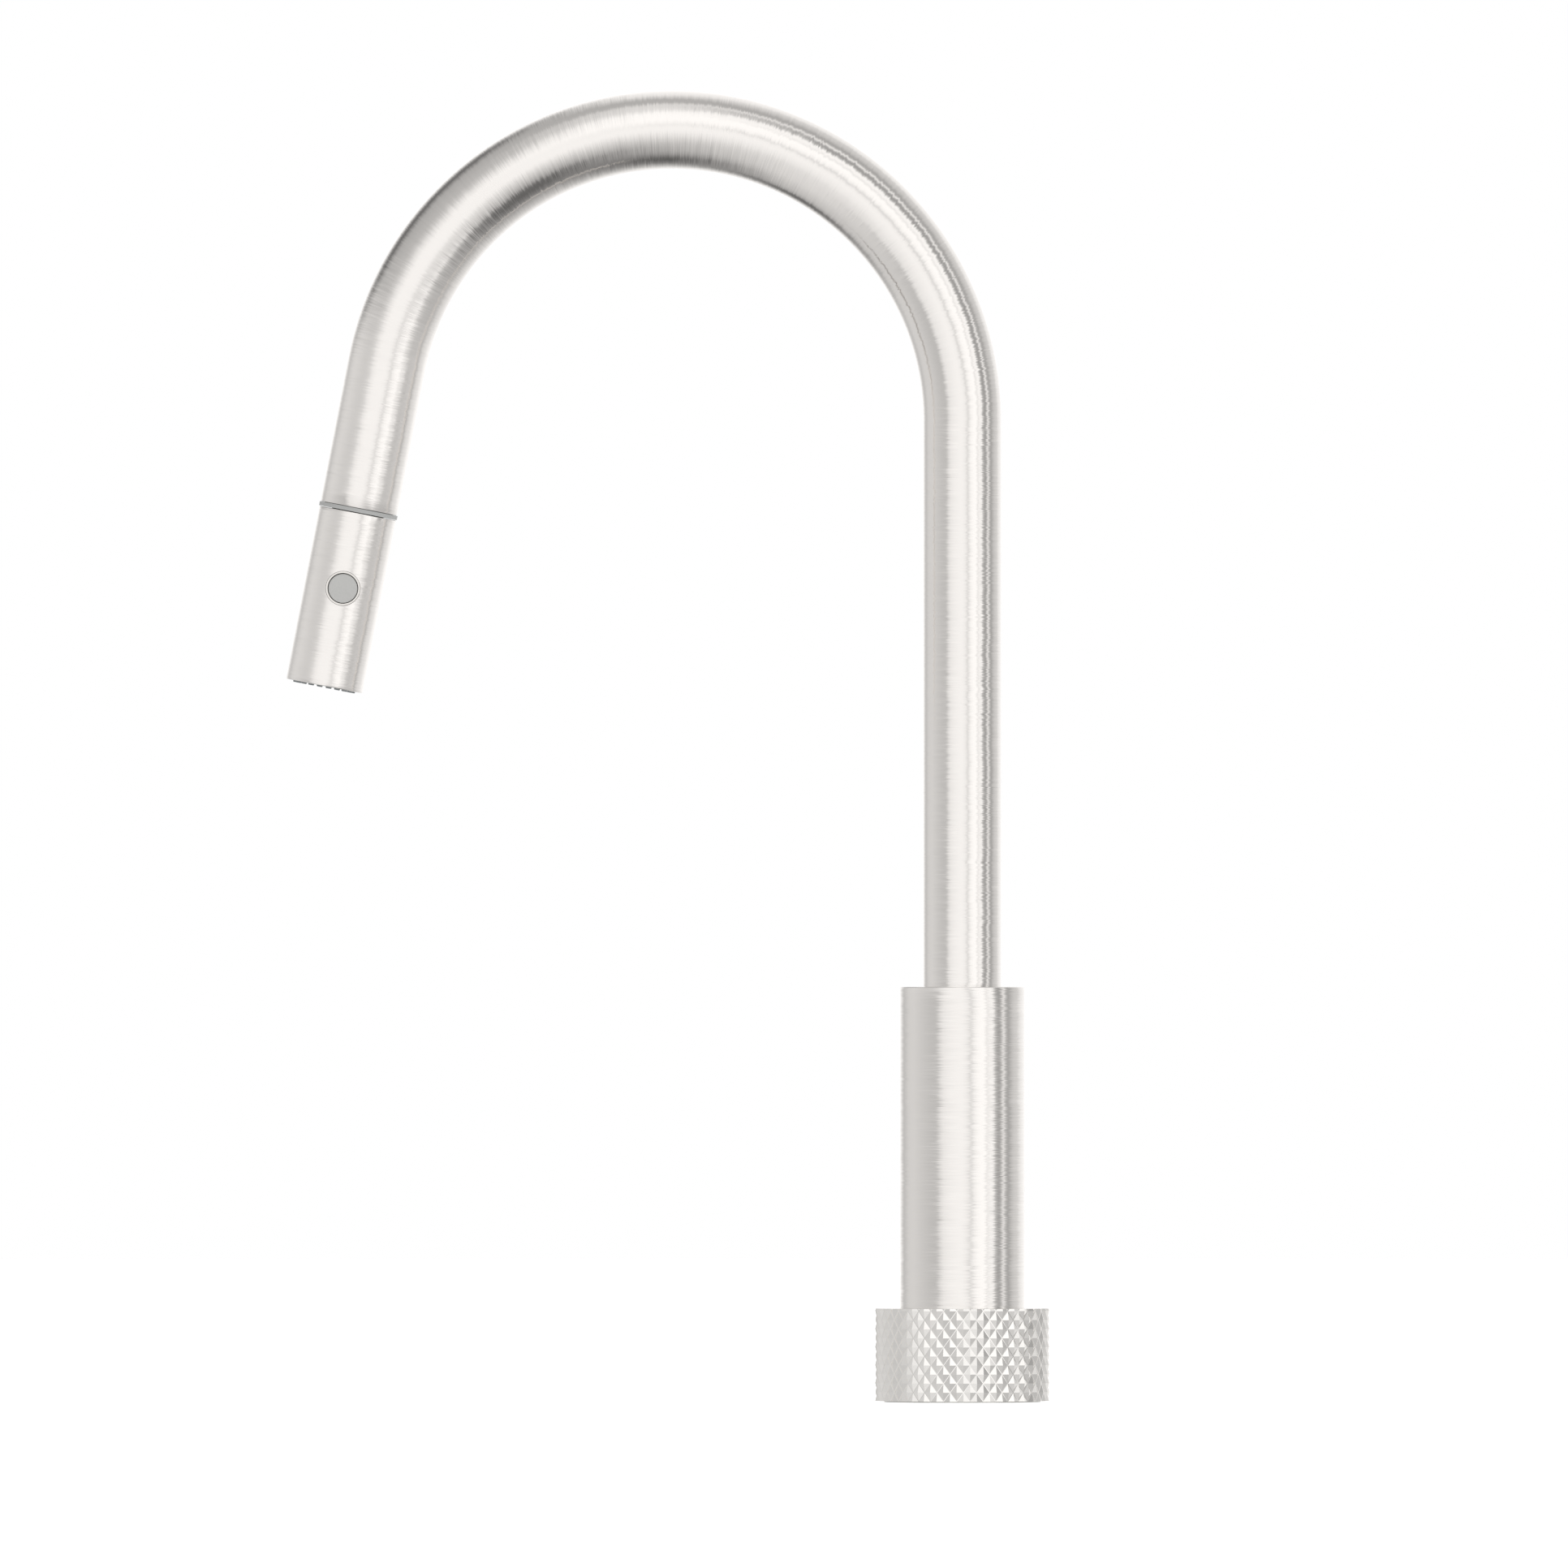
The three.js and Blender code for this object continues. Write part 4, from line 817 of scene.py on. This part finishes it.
# The dock ring is a plastic bush whose flange shows as a fine grey line above the head.
dockLow, dockHigh = extent("dock_bush", legFrame)
dockSizes = {
    "mouth": 0.0089, "flange": 0.0013, "inside": 0.0111, "edge": 0.00006, "lip": 0.0076,
    "lipHeight": 0.002,
}
flangeTop = dockLow.z + dockSizes["flange"]
# The dock ring's plastic is the button's grey painted darker, which is painted shade of the seam.
turned("dock_ring_skin", filleted(
    [(dockSizes["mouth"], dockLow.z, 0.0003), (dockHigh.y, dockLow.z, dockSizes["edge"]),
     (dockHigh.y, flangeTop, dockSizes["edge"]), (dockSizes["inside"], flangeTop, 0),
     (dockSizes["inside"], dockHigh.z, 0), (dockSizes["lip"], dockHigh.z, 0),
     (dockSizes["lip"], dockHigh.z - dockSizes["lipHeight"], 0.0002),
     (dockSizes["mouth"], dockHigh.z - dockSizes["lipHeight"], 0)], 0),
    dockShadedPlastic, "spout", ["dock_bush"], legFrame, sides=128, slot="grey_plastic")

faceLow, faceHigh = extent("spray_face", legFrame)
faceSizes = {"inner": 0.0062, "edge": 0.0003}
turned("spray_face_skin", filleted(
    [(faceSizes["inner"], faceLow.z, 0.0002), (faceHigh.y, faceLow.z, faceSizes["edge"]),
     (faceHigh.y, faceHigh.z, 0), (faceSizes["inner"], faceHigh.z, 0)], 0),
    greyPlastic, "spray_head", ["spray_face"], legFrame, sides=128, slot="grey_plastic")


nozzleSizes = {"count": 20, "radius": 0.0009, "circle": 0.0093, "hole": 0.00035, "edge": 0.00025}
matLow, matHigh = extent("nozzle_mat", legFrame)


def nozzleMesh():
    # The mat behind the face, with its nozzles standing through it, each with a small hole.
    vertices, faces, corners = [], [], []

    def addTurned(profile, sides, x, y):
        start = len(vertices)
        for r, z in profile:
            for s in range(sides):
                angle = 2 * math.pi * s / sides
                vertices.append((x + r * math.cos(angle), y + r * math.sin(angle), z))
        for i in range(len(profile) - 1):
            for s in range(sides):
                t = (s + 1) % sides
                a, b = start + i * sides, start + (i + 1) * sides
                faces.append((a + s, a + t, b + t, b + s))
                corners.extend([(profile[i][1], s / sides), (profile[i][1], (s + 1) / sides),
                                (profile[i + 1][1], (s + 1) / sides), (profile[i + 1][1], s / sides)])

    top = matHigh.z
    bottom = faceHigh.z + 0.0001
    addTurned([(0.0062, bottom), (0.0111, bottom), (0.0111, top), (0.0062, top), (0.0062, bottom)], 96, 0, 0)
    radius, hole, edge, tip = nozzleSizes["radius"], nozzleSizes["hole"], nozzleSizes["edge"], matLow.z
    profile = [(0.00001, tip + 0.0012), (hole, tip + 0.0012), (hole, tip), (radius - edge, tip),
               (radius - edge * 0.3, tip + edge * 0.3), (radius, tip + edge), (radius, bottom + 0.0003)]
    for i in range(nozzleSizes["count"]):
        angle = 2 * math.pi * (i + 0.5) / nozzleSizes["count"]
        circle = nozzleSizes["circle"]
        addTurned(profile, 20, circle * math.cos(angle), circle * math.sin(angle))
    return vertices, faces, corners


addPiece("nozzle_mat_skin", *nozzleMesh(), siliconeSkin, "spray_head", ["nozzle_mat"], legFrame,
         slot="silicone")

aeratorLow, aeratorHigh = extent("aerator", legFrame)


def aeratorProfile():
    # Rim, then concentric vanes over the screen.
    outer = aeratorHigh.y
    low, high = aeratorLow.z, aeratorHigh.z
    profile = [(outer, high), (outer, low + 0.0002), (outer - 0.0002, low), (outer - 0.0008, low),
               (outer - 0.001, low + 0.0002), (outer - 0.001, low + 0.0012)]
    radius = outer - 0.0015
    while radius > 0.0008:
        profile += [(radius, low + 0.0012), (radius, low + 0.0006), (radius - 0.0003, low + 0.0006),
                    (radius - 0.0003, low + 0.0012)]
        radius -= 0.0008
    profile.append((0.00001, low + 0.0012))
    return [Vector(p) for p in profile]


turned("aerator_skin", list(reversed(aeratorProfile())), darkPlastic, "spray_head", ["aerator"],
       legFrame, sides=64, closed=False, slot="dark_plastic")
print("spray head made")


# Hose.

hoseSizes = {"radius": 0.006, "underBend": 0.002, "sides": 40, "leadSteps": 90}
hoseR, hoseSides = hoseSizes["radius"], hoseSizes["sides"]
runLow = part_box("spout_hose")[0].z
centres, normals = goosenecks(runLow, hoseSizes["underBend"])
runRadii = [0.00001] + [hoseR] * len(centres)
swept("hose_run_skin", [centres[0]] + centres, [normals[0]] + normals, runRadii, braidRun, "spout",
      ["spout_hose"], sides=hoseSides, slot="hose_braid")
leadLow, leadHigh = extent("hose_lead", legFrame)
leadCount = hoseSizes["leadSteps"]
leadCentres = [legFrame @ Vector((0, 0, leadHigh.z + (leadLow.z - leadHigh.z) * s / leadCount))
               for s in range(leadCount + 1)]
hoseLead = swept("hose_lead_skin", leadCentres, [-legIn] * len(leadCentres), [hoseR] * len(leadCentres),
                 braidLead, None, ["hose_lead"], sides=hoseSides, slot="hose_braid")
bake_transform(hoseLead)
print("hose made")


# Under the deck.

def threadOf(pitch, depth):
    # Radius of a V thread: a helical groove, run out at the ends of the piece.
    def radiusOf(r, z, angle):
        phase = (z / pitch - angle / (2 * math.pi)) % 1
        return r - depth * abs(2 * phase - 1) if r > shankSizes["threadFrom"] else r
    return radiusOf


shankLow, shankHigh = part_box("threaded_shank")
shankSizes = {
    "radius": 0.016, "bore": 0.0143, "pitch": 0.0015, "depth": 0.0008, "threadFrom": 0.0155,
    "endDrop": 0.0009, "endGap": 0.0005,
}


def shankProfile():
    radius, bore = shankSizes["radius"], shankSizes["bore"]
    endR, endGap = radius - shankSizes["endDrop"], shankSizes["endGap"]
    low, high = shankLow.z, shankHigh.z
    length = high - low - 2 * endGap
    rows = round(length / (shankSizes["pitch"] / 4))
    outside = [Vector((radius, low + endGap + length * s / rows)) for s in range(rows + 1)]
    return [Vector((bore, low)), Vector((endR, low))] + outside + [Vector((endR, high)), Vector((bore, high))]


turned("threaded_shank_skin", shankProfile(), brassMetal, "root", ["threaded_shank"], sides=72,
       radiusOf=threadOf(shankSizes["pitch"], shankSizes["depth"]), sharp=25, slot="brass")

washerBore = 0.0164
for node, material, slot, edge in (("rubber_washer", rubberSkin, "rubber", 0.0006),
                                   ("steel_washer", steelMetal, "plated_steel", 0.0002)):
    low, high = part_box(node)
    turned(node + "_skin", tubeProfile(washerBore, high.x, low.z, high.z, edge), material, "root", [node],
           sides=128, slot=slot)

pipeSizes = {"radius": 0.0032, "bore": 0.0022, "collar": 0.009, "pitch": 0.0008, "depth": 0.0004}
for name in ("cold_inlet_pipe", "hot_inlet_pipe", "mixed_outlet_pipe"):
    low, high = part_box(name)
    middle = (low + high) / 2
    collarR = (high.y - low.y) / 2
    collarTop = low.z + pipeSizes["collar"]
    profile = [Vector((pipeSizes["bore"], low.z))]
    steps = 40
    for s in range(steps + 1):
        z = low.z + pipeSizes["collar"] * s / steps
        groove = pipeSizes["depth"] * abs(2 * ((z / pipeSizes["pitch"]) % 1) - 1)
        profile.append(Vector((collarR - groove, z)))
    profile += [Vector((pipeSizes["radius"], collarTop)), Vector((pipeSizes["radius"], high.z)),
                Vector((pipeSizes["bore"], high.z))]
    turned(name + "_skin", profile, steelMetal, "root", [name], Matrix.Translation((middle.x, middle.y, 0)),
           sides=40, slot="plated_steel")
print("under the deck made")


# CAD nodes that stay.

finishes = {
    "brushed_nickel": tubeMetal, "knurled_nickel": knurlMetal, "polished_trim": trimMetal,
    "plated_steel": steelMetal, "brass": brassMetal, "grey_plastic": greyPlastic,
    "dark_plastic": darkPlastic,
    "nylon": nylonPlastic, "rubber": rubberSkin, "silicone": siliconeSkin, "ceramic": ceramicSkin,
    "hose_braid": braidRun,
}
slotOf = {part["node"]: part["material_slot"] for part in frame["record"]["subparts"]}
for name, piece in frame["nodes"].items():
    if not piece.hide_render:
        material = finishes[slotOf[name]]
        if name == "mounting_foot":
            material = steelMetal
        piece.data.materials.clear()
        piece.data.materials.append(material)
print("CAD nodes finished")


# Floor: the deck, with the hole that the shank goes through.

floorSizes = {"hole": 0.0175, "rings": (0.1, 0.6, 6.0), "sides": 96, "drop": 0.00005}


def buildFloor():
    material, tree, shader = newMaterial("deck_white_matt", "f4f4f4", Roughness=0.7, Emission_Strength=0.7)
    shader.inputs["Emission Color"].default_value = (1, 1, 1, 1)
    sides = floorSizes["sides"]
    vertices = []
    for radius in (floorSizes["hole"], *floorSizes["rings"]):
        for s in range(sides):
            angle = 2 * math.pi * s / sides
            vertices.append((radius * math.cos(angle), radius * math.sin(angle), -floorSizes["drop"]))
    faces = []
    for ring in range(len(floorSizes["rings"])):
        for s in range(sides):
            t = (s + 1) % sides
            a, b = ring * sides, (ring + 1) * sides
            faces.append((a + s, a + t, b + t, b + s)[::-1])
    mesh = bpy.data.meshes.new("floor")
    mesh.from_pydata(vertices, [], faces)
    mesh.flip_normals()
    mesh.materials.append(material)
    floor = bpy.data.objects.new("floor", mesh)
    scene.collection.objects.link(floor)
    floor.visible_glossy = False


buildFloor()
